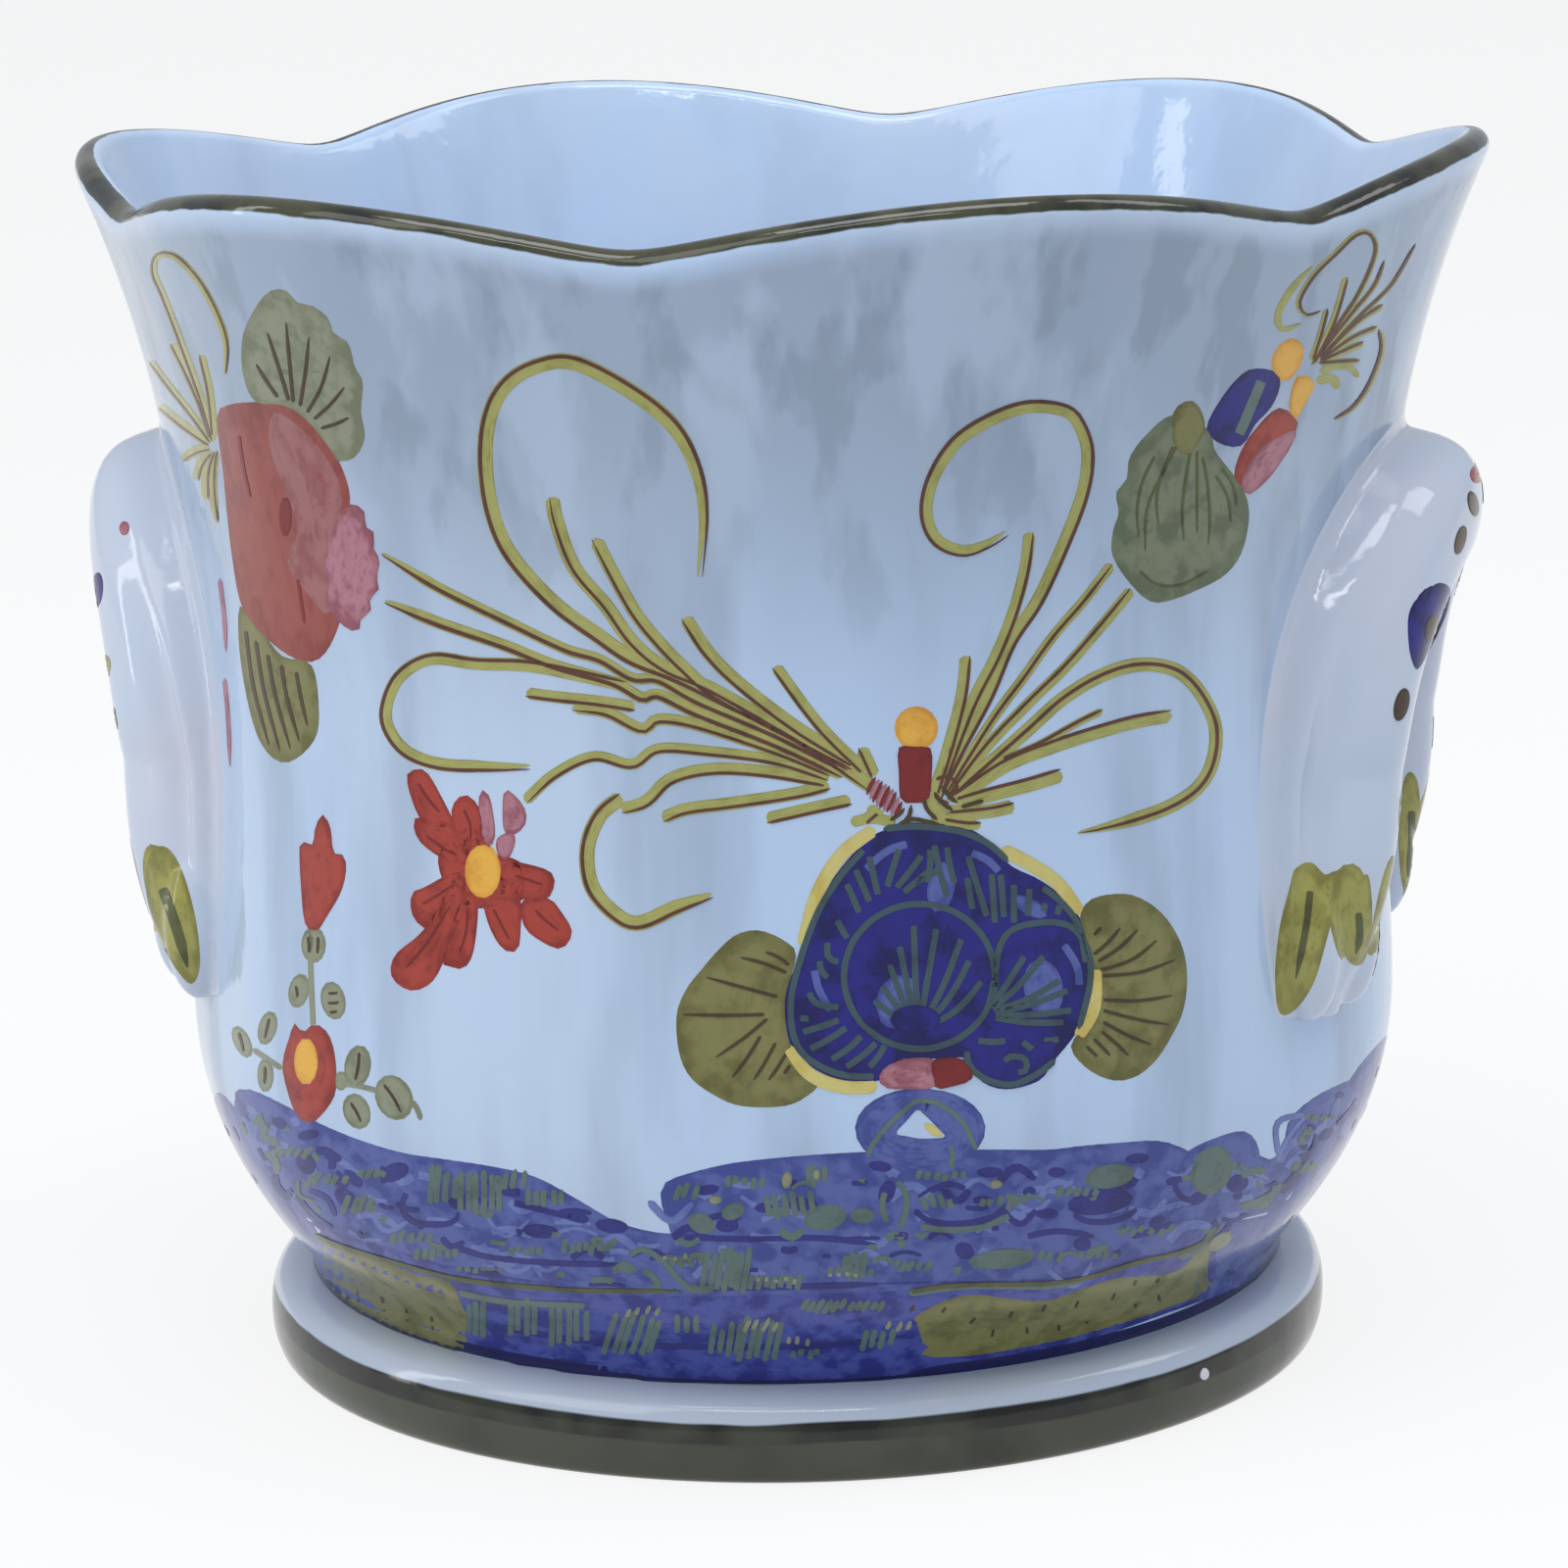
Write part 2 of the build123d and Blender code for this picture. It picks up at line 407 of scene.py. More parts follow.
class Bench:
    """A material's node tree, with short ways to add and join its nodes."""

    ior: float = 1.5
    slow_waves: float = 26.0
    slow_upright: float = 0.55
    fine_waves: float = 190.0
    fine_share: float = 0.06

    def __init__(self, name: str) -> None:
        """Starts an empty tree with an output and a glossy shader.

        Args:
            name: Name of the material.
        """
        self.material = bpy.data.materials.new(name)
        self.material.use_nodes = True
        self.tree = self.material.node_tree
        self.tree.nodes.clear()
        self.shader = self.add("ShaderNodeBsdfPrincipled")
        output = self.add("ShaderNodeOutputMaterial")
        self.join(self.shader.outputs[0], output.inputs[0])

    def add(self, kind: str, **settings: object) -> bpy.types.Node:
        """Adds a node and sets its own properties.

        Args:
            kind: Blender's name of the node's type.
            **settings: Properties of the node.

        Returns:
            The new node.
        """
        node = self.tree.nodes.new(kind)
        for name, value in settings.items():
            setattr(node, name, value)
        return node

    def join(self, source: Socket, target: Socket) -> None:
        """Joins an output to an input."""
        self.tree.links.new(source, target)

    def noise(self, scale: float, detail: float = 2.0, upright: float = 1.0) -> Socket:
        """Adds noise on Object coordinates.

        Args:
            scale: Cells to a metre.
            detail: Octaves of finer noise.
            upright: Scale upwards, as a share of the scale across.

        Returns:
            The output with the noise, from 0 to 1.
        """
        place = self.add("ShaderNodeTexCoord")
        draw = self.add("ShaderNodeMapping")
        draw.inputs["Scale"].default_value = (1.0, 1.0, upright)
        grain = self.add("ShaderNodeTexNoise")
        grain.inputs["Scale"].default_value = scale
        grain.inputs["Detail"].default_value = detail
        self.join(place.outputs["Object"], draw.inputs["Vector"])
        self.join(draw.outputs[0], grain.inputs["Vector"])
        return grain.outputs[0]

    def grained(self, grain: Grain) -> Socket:
        """Adds a noise as the share of a colour, from nothing to its strongest."""
        noise = self.noise(grain.scale, grain.detail, grain.upright)
        return self.ramp(noise, grain.low, grain.high, 0.0, grain.most)

    def height(self) -> Socket:
        """Gives the height coordinate of the surface.

        Returns:
            The output with the height in metres.
        """
        place = self.add("ShaderNodeTexCoord")
        split = self.add("ShaderNodeSeparateXYZ")
        self.join(place.outputs["Object"], split.inputs[0])
        return split.outputs[2]

    def ramp(
        self, source: Socket, low: float, high: float, first: float = 0.0, last: float = 1.0
    ) -> Socket:
        """Spreads a range of values smoothly over another.

        Args:
            source: The output to read.
            low: Value that gives first.
            high: Value that gives last.
            first: Result at and below low.
            last: Result at and above high.

        Returns:
            The output with the result.
        """
        spread = self.add("ShaderNodeMapRange", interpolation_type="SMOOTHSTEP")
        self.join(source, spread.inputs["Value"])
        spread.inputs["From Min"].default_value = low
        spread.inputs["From Max"].default_value = high
        spread.inputs["To Min"].default_value = first
        spread.inputs["To Max"].default_value = last
        return spread.outputs[0]

    def sum(self, first: Socket, second: Socket, weight: float = 1.0) -> Socket:
        """Adds a weighted output to another.

        Args:
            first: The output that counts in full.
            second: The output that is weighted.
            weight: The second output's weight.

        Returns:
            The output with the sum.
        """
        add = self.add("ShaderNodeMath", operation="MULTIPLY_ADD")
        self.join(second, add.inputs[0])
        add.inputs[1].default_value = weight
        self.join(first, add.inputs[2])
        return add.outputs[0]

    def product(self, first: Socket, second: Socket) -> Socket:
        """Multiplies two outputs.

        Args:
            first: One output.
            second: The other.

        Returns:
            The output with the product.
        """
        times = self.add("ShaderNodeMath", operation="MULTIPLY")
        self.join(first, times.inputs[0])
        self.join(second, times.inputs[1])
        return times.outputs[0]

    def blend(self, share: Socket, first: Socket | Colour, second: Socket | Colour) -> Socket:
        """Blends two colours by a share.

        Args:
            share: 0 for the first colour, 1 for the second.
            first: Colour, or an output that has one.
            second: Colour, or an output that has one.

        Returns:
            The output with the blended colour.
        """
        mix = self.add("ShaderNodeMix", data_type="RGBA")
        self.join(share, mix.inputs[0])
        for socket, colour in ((mix.inputs[6], first), (mix.inputs[7], second)):
            if isinstance(colour, Socket):
                self.join(colour, socket)
            else:
                socket.default_value = linear(colour)
        return mix.outputs[2]

    def glaze(
        self, colour: Socket, roughness: float, wave: float, shine: float = 0.5
    ) -> bpy.types.Material:
        """Finishes the material as glass, with the slow waves of glaze brushed on by hand.

        Args:
            colour: The output with its colour.
            roughness: The shader's roughness.
            wave: Height of the waves in metres.
            shine: Strength of the reflection.

        Returns:
            The material.
        """
        self.join(colour, self.shader.inputs["Base Color"])
        self.shader.inputs["Roughness"].default_value = roughness
        self.shader.inputs["IOR"].default_value = self.ior
        self.shader.inputs["Specular IOR Level"].default_value = shine
        slow = self.noise(self.slow_waves, 1.0, self.slow_upright)
        fine = self.noise(self.fine_waves)
        bump = self.add("ShaderNodeBump")
        bump.inputs["Strength"].default_value = 1.0
        bump.inputs["Distance"].default_value = wave
        self.join(self.sum(slow, fine, self.fine_share), bump.inputs["Height"])
        self.join(bump.outputs[0], self.shader.inputs["Normal"])
        return self.material


@dataclass(frozen=True)
class WallGlaze:
    """White tin glaze with the crest's painted line, and painted shade and reflection on the upper wall."""

    name: str = "glazed_earthenware"
    body: Colour = (187, 204, 226)
    thin_glaze_and_reflection: Colour = (154, 170, 192)
    pool: Colour = (180, 202, 230)
    shade: Colour = (150, 165, 185)
    wall_dark_reflection: Colour = (126, 140, 158)
    shade_from: float = 0.125
    shade_to: float = 0.195
    shade_most: float = 0.85
    shade_drift: float = 0.03
    drift_scale: float = 38.0
    drift_upright: float = 0.3
    lip_from: float = -0.0085
    lip_to: float = -0.0035
    lip_streak_share: float = 0.35
    cloud: Grain = Grain(11.0, 3.0, 0.38, 0.66, upright=0.6)
    glaze_and_reflection_streaks: Grain = Grain(44.0, 4.0, 0.42, 0.68, 0.75, 0.16)
    dark_reflection_blotches: Grain = Grain(75.0, 4.0, 0.5, 0.6, 0.6, 0.4)
    shade_light_patches: Grain = Grain(58.0, 4.0, 0.52, 0.64, 0.5, 0.3)
    ink: Grain = Grain(90.0, 3.0, 0.4, 0.62)
    line: Colour = (66, 66, 48)
    line_dark: Colour = (32, 33, 25)
    line_in: float = 0.0016
    line_out: float = -0.0031
    line_soft: float = 0.0004
    line_shake: float = -0.00105
    shake_scale: float = 130.0
    roughness: float = 0.09
    wave: float = 0.0021

    def material(self) -> bpy.types.Material:
        """Builds the material.

        Returns:
            The glaze, with the line along the crest from the mesh's own attribute.
        """
        bench = Bench(self.name)
        run = bench.add("ShaderNodeAttribute", attribute_name="crest_run").outputs["Fac"]
        # Upright streaks, partly thinner glaze and partly painted reflection, weaker on the lip and inside.
        streak_share = bench.ramp(run, self.lip_from, self.lip_to, 1.0, self.lip_streak_share)
        ground = bench.blend(bench.grained(self.cloud), self.body, self.pool)
        ground = bench.blend(bench.product(bench.grained(self.glaze_and_reflection_streaks), streak_share), ground, self.thin_glaze_and_reflection)
        # Painted shade and painted dark reflection on the upper outer wall, kept off the lip, with darker
        # painted blotches and lighter patches in it.
        drift = self.shade_drift / 2
        cells = bench.noise(self.drift_scale, 3.0, self.drift_upright)
        level = bench.sum(bench.height(), cells, self.shade_drift)
        upper = bench.ramp(level, self.shade_from + drift, self.shade_to + drift, 0.0, self.shade_most)
        shaded = bench.product(upper, bench.ramp(run, self.lip_from, self.lip_to, 1.0, 0.0))
        ground = bench.blend(shaded, ground, self.shade)
        ground = bench.blend(bench.product(shaded, bench.grained(self.dark_reflection_blotches)), ground, self.wall_dark_reflection)
        ground = bench.blend(bench.product(upper, bench.grained(self.shade_light_patches)), ground, self.body)
        shaky = bench.sum(run, bench.noise(self.shake_scale, 3.0), self.line_shake)
        inner = bench.ramp(shaky, self.line_in - self.line_soft, self.line_in, 1.0, 0.0)
        outer = bench.ramp(shaky, self.line_out - self.line_soft, self.line_out)
        inked = bench.blend(bench.grained(self.ink), self.line, self.line_dark)
        return bench.glaze(
            bench.blend(bench.product(inner, outer), ground, inked), self.roughness, self.wave
        )


@dataclass(frozen=True)
class PlainGlaze:
    """White tin glaze of the handles."""

    name: str = "glazed_handle"
    body: Colour = (190, 201, 218)
    blush: Colour = (198, 200, 214)
    cloud: Grain = Grain(22.0, 2.0, 0.35, 0.7)
    roughness: float = 0.1
    wave: float = 0.0012

    def material(self) -> bpy.types.Material:
        """Builds the material.

        Returns:
            The glaze with faint pinkish clouds.
        """
        bench = Bench(self.name)
        colour = bench.blend(bench.grained(self.cloud), self.body, self.blush)
        return bench.glaze(colour, self.roughness, self.wave)


@dataclass(frozen=True)
class FootGlaze:
    """The foot's bands: white glaze on the shoulder, olive paint below with a painted dark reflection along
    its top, bare clay underneath.
    """

    name: str = "glazed_foot"
    white: Colour = (184, 194, 210)
    olive: Colour = (66, 70, 54)
    dark_olive_and_reflection: Colour = (10, 13, 6)
    clay: Colour = (196, 176, 150)
    white_from: float = 0.0118
    dark_reflection_from: float = 0.0082
    soft: float = 0.0005
    waver: float = 0.0016
    waver_scale: float = 36.0
    bare_to: float = 0.0004
    patch: Grain = Grain(45.0, 3.0, 0.36, 0.62)
    fade: Grain = Grain(30.0, 2.0, 0.3, 0.8, 0.7)
    reflection_breaks: Grain = Grain(70.0, 2.0, 0.4, 0.7, 0.6)
    roughness: float = 0.12
    wave: float = 0.0012

    def material(self) -> bpy.types.Material:
        """Builds the material.

        Returns:
            The foot's banded glaze, by height.
        """
        bench = Bench(self.name)
        level = bench.sum(bench.height(), bench.noise(self.waver_scale), self.waver)
        olive = bench.blend(bench.grained(self.patch), self.olive, self.dark_olive_and_reflection)
        faded = bench.blend(bench.grained(self.fade), self.olive, olive)
        # Painted dark reflection along the top of the olive band, broken up by noise; the same dark colour
        # also gives random patches in the olive.
        dark_olive_and_reflection = bench.blend(bench.grained(self.reflection_breaks), self.dark_olive_and_reflection, self.olive)
        banded = bench.blend(
            bench.ramp(level, self.dark_reflection_from, self.dark_reflection_from + self.soft), faded, dark_olive_and_reflection
        )
        shoulder = bench.ramp(level, self.white_from, self.white_from + self.soft)
        glazed = bench.blend(shoulder, banded, self.white)
        bare = bench.ramp(bench.height(), self.bare_to / 2, self.bare_to, 1.0, 0.0)
        return bench.glaze(bench.blend(bare, glazed, self.clay), self.roughness, self.wave)


@dataclass(frozen=True)
class Pigment:
    """A painter's colour under the glaze, streaked along the brush and gathered at the edges."""

    name: str
    light: Colour
    dark: Colour
    streak: float = 0.5
    edge: float = 0.45
    cloud: float = 0.35
    streak_stretch: Point3 = (0.05, 5.0, 1.0)
    streak_range: Point = (0.4, 0.72)
    edge_from: float = 0.72
    cloud_scale: float = 170.0
    cloud_range: Point = (0.42, 0.68)
    roughness: float = 0.11
    wave: float = 0.0021
    shine: float = 0.3

    def material(self) -> bpy.types.Material:
        """Builds the material.

        Returns:
            The pigment, from the film's brush map and Object coordinates.
        """
        bench = Bench(self.name)
        brush = bench.add("ShaderNodeUVMap", uv_map="brush")
        split = bench.add("ShaderNodeSeparateXYZ")
        bench.join(brush.outputs[0], split.inputs[0])
        stretch = bench.add("ShaderNodeMapping")
        stretch.inputs["Scale"].default_value = self.streak_stretch
        bench.join(brush.outputs[0], stretch.inputs["Vector"])
        lines = bench.add("ShaderNodeTexNoise")
        lines.inputs["Scale"].default_value = 1.0
        lines.inputs["Detail"].default_value = 3.0
        bench.join(stretch.outputs[0], lines.inputs["Vector"])
        streaks = bench.ramp(lines.outputs[0], *self.streak_range, 0.0, self.streak)
        far = bench.add("ShaderNodeMath", operation="ABSOLUTE")
        bench.join(split.outputs[1], far.inputs[0])
        edges = bench.ramp(far.outputs[0], self.edge_from, 1.0, 0.0, self.edge)
        clouds = bench.grained(Grain(self.cloud_scale, 3.0, *self.cloud_range, self.cloud))
        depth = bench.sum(bench.sum(streaks, edges), clouds)
        colour = bench.blend(bench.ramp(depth, 0.0, 1.0), self.light, self.dark)
        return bench.glaze(colour, self.roughness, self.wave, self.shine)


class Paint(Enum):
    """The colours on the painter's palette."""

    SPRAY = Pigment("olive_spray", (166, 164, 96), (134, 132, 66))
    LINE = Pigment("brown_line", (96, 58, 46), (60, 34, 32), 0.6, 0.0)
    LEAF = Pigment("olive_leaf", (124, 122, 74), (94, 92, 48), 0.3, 0.4, 0.6)
    PALE_LEAF = Pigment("pale_leaf", (139, 142, 119), (112, 117, 92), 0.5, 0.4, 0.6)
    HANDLE_LEAF = Pigment("handle_leaf", (158, 154, 84), (126, 122, 62), 0.4, 0.4, 0.6)
    DARK_LEAF = Pigment("dark_leaf", (88, 92, 56), (58, 62, 34), 0.4, 0.3, 0.6)
    VEIN = Pigment("vein", (72, 58, 36), (48, 38, 26), 0.4, 0.0)
    RED = Pigment("iron_red", (164, 62, 50), (126, 38, 34), 0.35, 0.4, 0.5)
    DULL_RED = Pigment("dull_red", (150, 74, 66), (128, 54, 50), 0.3, 0.3, 0.5)
    DARK_RED = Pigment("dark_red", (124, 36, 38), (96, 24, 30), 0.4, 0.2)
    PINK = Pigment("pink_wash", (174, 118, 130), (140, 78, 92), 0.6, 0.4, 0.6)
    ROSE = Pigment("rose_wash", (156, 100, 100), (138, 74, 76), 0.5, 0.1, 0.6)
    BLUE = Pigment("deep_blue", (32, 30, 122), (16, 16, 82), 0.4, 0.3, 0.7)
    TEAL = Pigment("teal_line", (62, 84, 90), (42, 60, 70), 0.5, 0.1, 0.4)
    WASH = Pigment("blue_wash", (86, 98, 160), (58, 70, 138), 0.5, 0.25, 0.9)
    HILL = Pigment("neck_blue", (72, 82, 158), (42, 48, 126), 0.7, 0.3, 0.9)
    PALE_BLUE = Pigment("pale_blue", (108, 122, 178), (84, 98, 160), 0.5, 0.2, 0.6)
    CHIP = Pigment("bare_chip", (216, 218, 222), (190, 194, 202), 0.2, 0.0, 0.2)
    DAB = Pigment("blue_dab", (48, 50, 124), (32, 32, 96), 0.4, 0.1, 0.6)
    SAGE = Pigment("grey_green", (94, 112, 108), (72, 88, 84), 0.4, 0.1, 0.5)
    FLOWER = Pigment("sage_wash", (118, 126, 100), (92, 102, 78), 0.5, 0.4, 0.8)
    DEEP_LINE = Pigment("deep_blue_line", (34, 34, 88), (20, 20, 60), 0.3, 0.0)
    YELLOW = Pigment("yellow", (226, 172, 70), (204, 140, 48), 0.3, 0.3, 0.5)
    HALO = Pigment("yellow_halo", (202, 190, 118), (192, 168, 82), 0.4, 0.2, 0.6)


def new_object(
    name: str, mesh: bpy.types.Mesh, material: bpy.types.Material
) -> bpy.types.Object:
    """Makes a mesh a piece of the object, riding on its one body.

    Args:
        name: Name of the piece.
        mesh: Its mesh, in place.
        material: Its finish.

    Returns:
        The new object.
    """
    piece = placed(name, mesh)
    mesh.materials.clear()
    mesh.materials.append(material)
    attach(piece, BODY)
    LOG.info("%s: %d faces", name, len(mesh.polygons))
    return piece


@cache
def finish_of(paint: Paint) -> bpy.types.Material:
    """Gives the material of a paint, made once."""
    return paint.value.material()


def closed_mesh(shape: Shape, name: str) -> bpy.types.Mesh:
    """Turns a closed shape's normals outwards and makes it a smooth mesh.

    Args:
        shape: The shape, which is freed.
        name: Name of the mesh.

    Returns:
        The mesh.
    """
    bmesh.ops.recalc_face_normals(shape, faces=shape.faces)
    mesh = bpy.data.meshes.new(name)
    shape.to_mesh(mesh)
    shape.free()
    mesh.shade_smooth()
    return mesh


class Skin:
    """The surface of a finished mesh, on which films of paint are laid."""

    def __init__(self, mesh: bpy.types.Mesh) -> None:
        """Reads a mesh into a tree for casting rays and finding near points.

        Args:
            mesh: The mesh of the piece that carries the paint.
        """
        self.shape = bmesh.new()
        self.shape.from_mesh(mesh)
        self.shape.faces.ensure_lookup_table()
        self.shape.normal_update()
        self.tree = BVHTree.FromBMesh(self.shape)

    def spot(self, place: Vector, index: int) -> Spot:
        """Gives a place on a face with its smooth normal.

        Args:
            place: A point on the face.
            index: The face's index.

        Returns:
            The point and the smooth normal there.
        """
        corners = self.shape.faces[index].verts
        weights = poly_3d_calc([corner.co for corner in corners], place)
        normal = Vector()
        for corner, weight in zip(corners, weights):
            normal += corner.normal * weight
        return place, normal.normalized()

    def cast(self, origin: Vector, direction: Vector) -> Spot | None:
        """Finds where a ray first meets the surface."""
        place, _, index, _ = self.tree.ray_cast(origin, direction)
        return None if place is None else self.spot(place, index)

    def near(self, place: Vector) -> Spot:
        """Finds the nearest place on the surface."""
        found, _, index, _ = self.tree.find_nearest(place)
        return self.spot(found, index)


@dataclass(frozen=True)
class PhotoCamera:
    """The photograph's camera, found from the rim, the foot and the handles."""

    distance: float = 0.997738
    height: float = 0.314797
    round_angle: float = math.radians(11.5914)
    yaw: float = math.radians(0.0288)
    pitch: float = 0.2102
    roll: float = -0.0214
    focal: float = 5640.975
    picture: float = 1600.0
    sensor: float = 36.0
    closest: float = 0.05
    farthest: float = 60.0

    @property
    def place(self) -> Vector:
        """Where the camera stands."""
        turn = self.round_angle
        return Vector((math.sin(turn) * self.distance, -math.cos(turn) * self.distance, self.height))

    def axes(self) -> tuple[Vector, Vector, Vector]:
        """Gives the camera's axes.

        Returns:
            Its right, its up and the direction that it looks in.
        """
        turn = self.round_angle + self.yaw
        forward = Vector(
            (
                -math.sin(turn) * math.cos(self.pitch),
                math.cos(turn) * math.cos(self.pitch),
                -math.sin(self.pitch),
            )
        )
        level = Vector((math.cos(turn), math.sin(turn), 0.0))
        upright = level.cross(forward)
        right = level * math.cos(self.roll) + upright * math.sin(self.roll)
        up = upright * math.cos(self.roll) - level * math.sin(self.roll)
        return right, up, forward

    def build(self) -> bpy.types.Object:
        """Makes the camera and gives the scene its view.

        Returns:
            The camera object.
        """
        data = bpy.data.cameras.new("photo_camera")
        data.sensor_width = self.sensor
        data.lens = self.focal / self.picture * self.sensor
        data.clip_start = self.distance * self.closest
        data.clip_end = self.distance * self.farthest
        camera = placed("photo_camera", data)
        right, up, forward = self.axes()
        turned = Matrix((right, up, -forward)).transposed().to_4x4()
        camera.matrix_world = Matrix.Translation(self.place) @ turned
        bpy.context.scene.camera = camera
        return camera


Placer = Callable[[float, float], "Spot | None"]


def photo_placer(
    camera: PhotoCamera, skin: Skin, mirror: Matrix = Matrix.Identity(3), slack: Point = (0.0, -14.0)
) -> Placer:
    """Makes a placer that casts a pixel of the photograph onto a surface.

    Args:
        camera: The photograph's camera.
        skin: The surface.
        mirror: Turns the view to the side that the photograph doesn't show.
        slack: How far and which way, in pixels, a point beside the surface is moved to find its edge.

    Returns:
        The placer.
    """
    right, up, forward = (mirror @ axis for axis in camera.axes())
    origin, half, focal = mirror @ camera.place, camera.picture / 2, camera.focal

    def place(x: float, y: float) -> Spot | None:
        """Finds the spot under a pixel.

        Args:
            x: Pixels from the left.
            y: Pixels from the top.

        Returns:
            The spot, or nothing beside the surface.
        """
        for step in range(SLACK_STEPS + 1):
            across = x + slack[0] * step / SLACK_STEPS - half
            down = y + slack[1] * step / SLACK_STEPS - half
            aim = forward * focal + right * across - up * down
            spot = skin.cast(origin, aim.normalized())
            if spot is not None:
                return spot
        return None

    return place


def wall_placer(form: PotForm, skin: Skin) -> Placer:
    """Makes a placer that takes millimetres round the belly from the front and millimetres up.

    Args:
        form: The wall's shape.
        skin: The wall's surface.

    Returns:
        The placer.
    """

    def place(arc: float, height: float) -> Spot | None:
        """Gives the spot of the wall at a length round it and a height."""
        angle = arc * MM / form.belly_radius - math.pi / 2
        return skin.near(form.point(angle, height * MM))

    return place


def lobe_placer(form: PotForm, skin: Skin, turn: float) -> Placer:
    """Makes a placer that takes millimetres round the wall from a handle's middle and millimetres up.

    Args:
        form: The wall's shape.
        skin: The handle's surface.
        turn: Angle of the handle's middle from the X axis.

    Returns:
        The placer.
    """

    def place(arc: float, height: float) -> Spot | None:
        """Finds the spot of the handle that faces outwards.

        Args:
            arc: Millimetres round the wall.
            height: Millimetres up.

        Returns:
            The spot, or nothing beside the handle.
        """
        angle = turn + arc * MM / form.waist_radius
        out = form.normal(angle, height * MM)
        return skin.cast(form.point(angle, height * MM) + out * CLEAR_OF_WALL, -out)

    return place


class Film:
    """A thin film of one pigment, made of strokes and patches that are laid on a surface.

    A bit is first flat, from 0 to 1 along and from -1 to 1 across. Past the edge and end values
    it sinks under the surface, and the rim values set how steeply it comes down to them.
    """

    sink: float = -0.00006
    edge: float = 0.99
    end: float = 0.001
    lanes: int = 4
    rim: float = 0.84
    centre_lane: float = 0.1
    point_power: float = 0.7
    thinnest: float = 0.04
    fineness: float = 6.0
    fewest_sides: int = 14
    sides_share: float = 1.4
    rim_share: float = 0.985
    rim_slope: float = 0.16
    rim_rows: float = 2.1
    rim_most: float = 0.4

    def __init__(
        self, name: str, paint: Paint, place: Placer, cell: float = 12.0, jump: float = 1.0
    ) -> None:
        """Starts an empty film.

        Args:
            name: Name of the piece.
            paint: Its pigment.
            place: How its flat coordinates land on the surface.
            cell: Size of its faces in flat coordinates.
            jump: Longest edge that a face may have; past it the paint has left the piece.
        """
        self.name = name
        self.paint = paint
        self.place = place
        self.cell = cell
        self.jump = jump
        self.shape = self.start()

    @staticmethod
    def start() -> Shape:
        """Starts a shape with layers for the brush map and the wall's direction.

        Returns:
            The empty shape.
        """
        shape = bmesh.new()
        shape.loops.layers.uv.new("brush")
        shape.verts.layers.float_vector.new("facing")
        return shape

    def settle(self, bit: Shape, flat: dict[bmesh.types.BMVert, Flat]) -> None:
        """Lands a stroke or patch on the surface, gives it the brush map and adds it to the film.

        Args:
            bit: The flat stroke or patch, which is freed.
            flat: For each vertex its flat place, its lift and its brush coordinates.
        """
        brush = bit.loops.layers.uv["brush"]
        facing = bit.verts.layers.float_vector["facing"]
        missed: list[bmesh.types.BMVert] = []
        for vert, (x, y, lift, _, _) in flat.items():
            spot = self.place(x, y)
            if spot is None:
                missed.append(vert)
                continue
            vert.co = spot[0] + spot[1] * lift
            vert[facing] = spot[1]
        for face in bit.faces:
            for loop in face.loops:
                loop[brush].uv = flat[loop.vert][3:]
            face.normal_update()
            if face.normal.dot(face.verts[0][facing]) < 0:
                face.normal_flip()
        long_edges = [edge for edge in bit.edges if edge.calc_length() > self.jump]
        torn = {face for edge in long_edges for face in edge.link_faces}
        bmesh.ops.delete(bit, geom=list(torn), context="FACES")
        bmesh.ops.delete(bit, geom=[vert for vert in missed if vert.is_valid], context="VERTS")
        pour(bit, self.shape)

    def stroke(
        self,
        points: Sequence[Point],
        width: float,
        lift: float = 0.00012,
        tail: float = 0.0,
        head: float = 0.0,
        aside: float = 0.0,
    ) -> None:
        """Lays one stroke of the brush.

        Args:
            points: Control points of its middle line.
            width: Its full width.
            lift: How far its middle stands over the surface.
            tail: Share of its length over which the end comes to a point.
            head: The same at its start.
            aside: How far it is moved to its left.
        """
        middle = smooth_run(points, self.cell / 2)
        length = run_length(middle)
        bit = self.start()
        bmesh.ops.create_grid(bit, x_segments=len(middle) - 1, y_segments=self.lanes, size=1.0)
        flat: dict[bmesh.types.BMVert, Flat] = {}
        radius = width / 2
        for vert in bit.verts:
            share, across = (vert.co.x + 1) / 2, vert.co.y
            if self.centre_lane < abs(across) < self.edge:
                across = math.copysign(self.rim, across)
            run = share * length
            swell = 1.0
            for end, point_share in ((run, head), (length - run, tail)):
                if point_share > 0:
                    swell *= min(1.0, max(0.0, end / (point_share * length))) ** self.point_power
                elif end < radius:
                    swell *= math.sqrt(max(0.0, 1 - (1 - end / radius) ** 2))
            step = 1 / (len(middle) - 1)
            along = (at_share(middle, share + step) - at_share(middle, share - step)).normalized()
            side = Vector((along.y, -along.x)) * (aside + across * radius * max(self.thinnest, swell))
            spot = at_share(middle, share) + side
            high = lift if abs(across) < self.edge and 0 < share < 1 else self.sink
            flat[vert] = (spot.x, spot.y, high, run, across)
        self.settle(bit, flat)

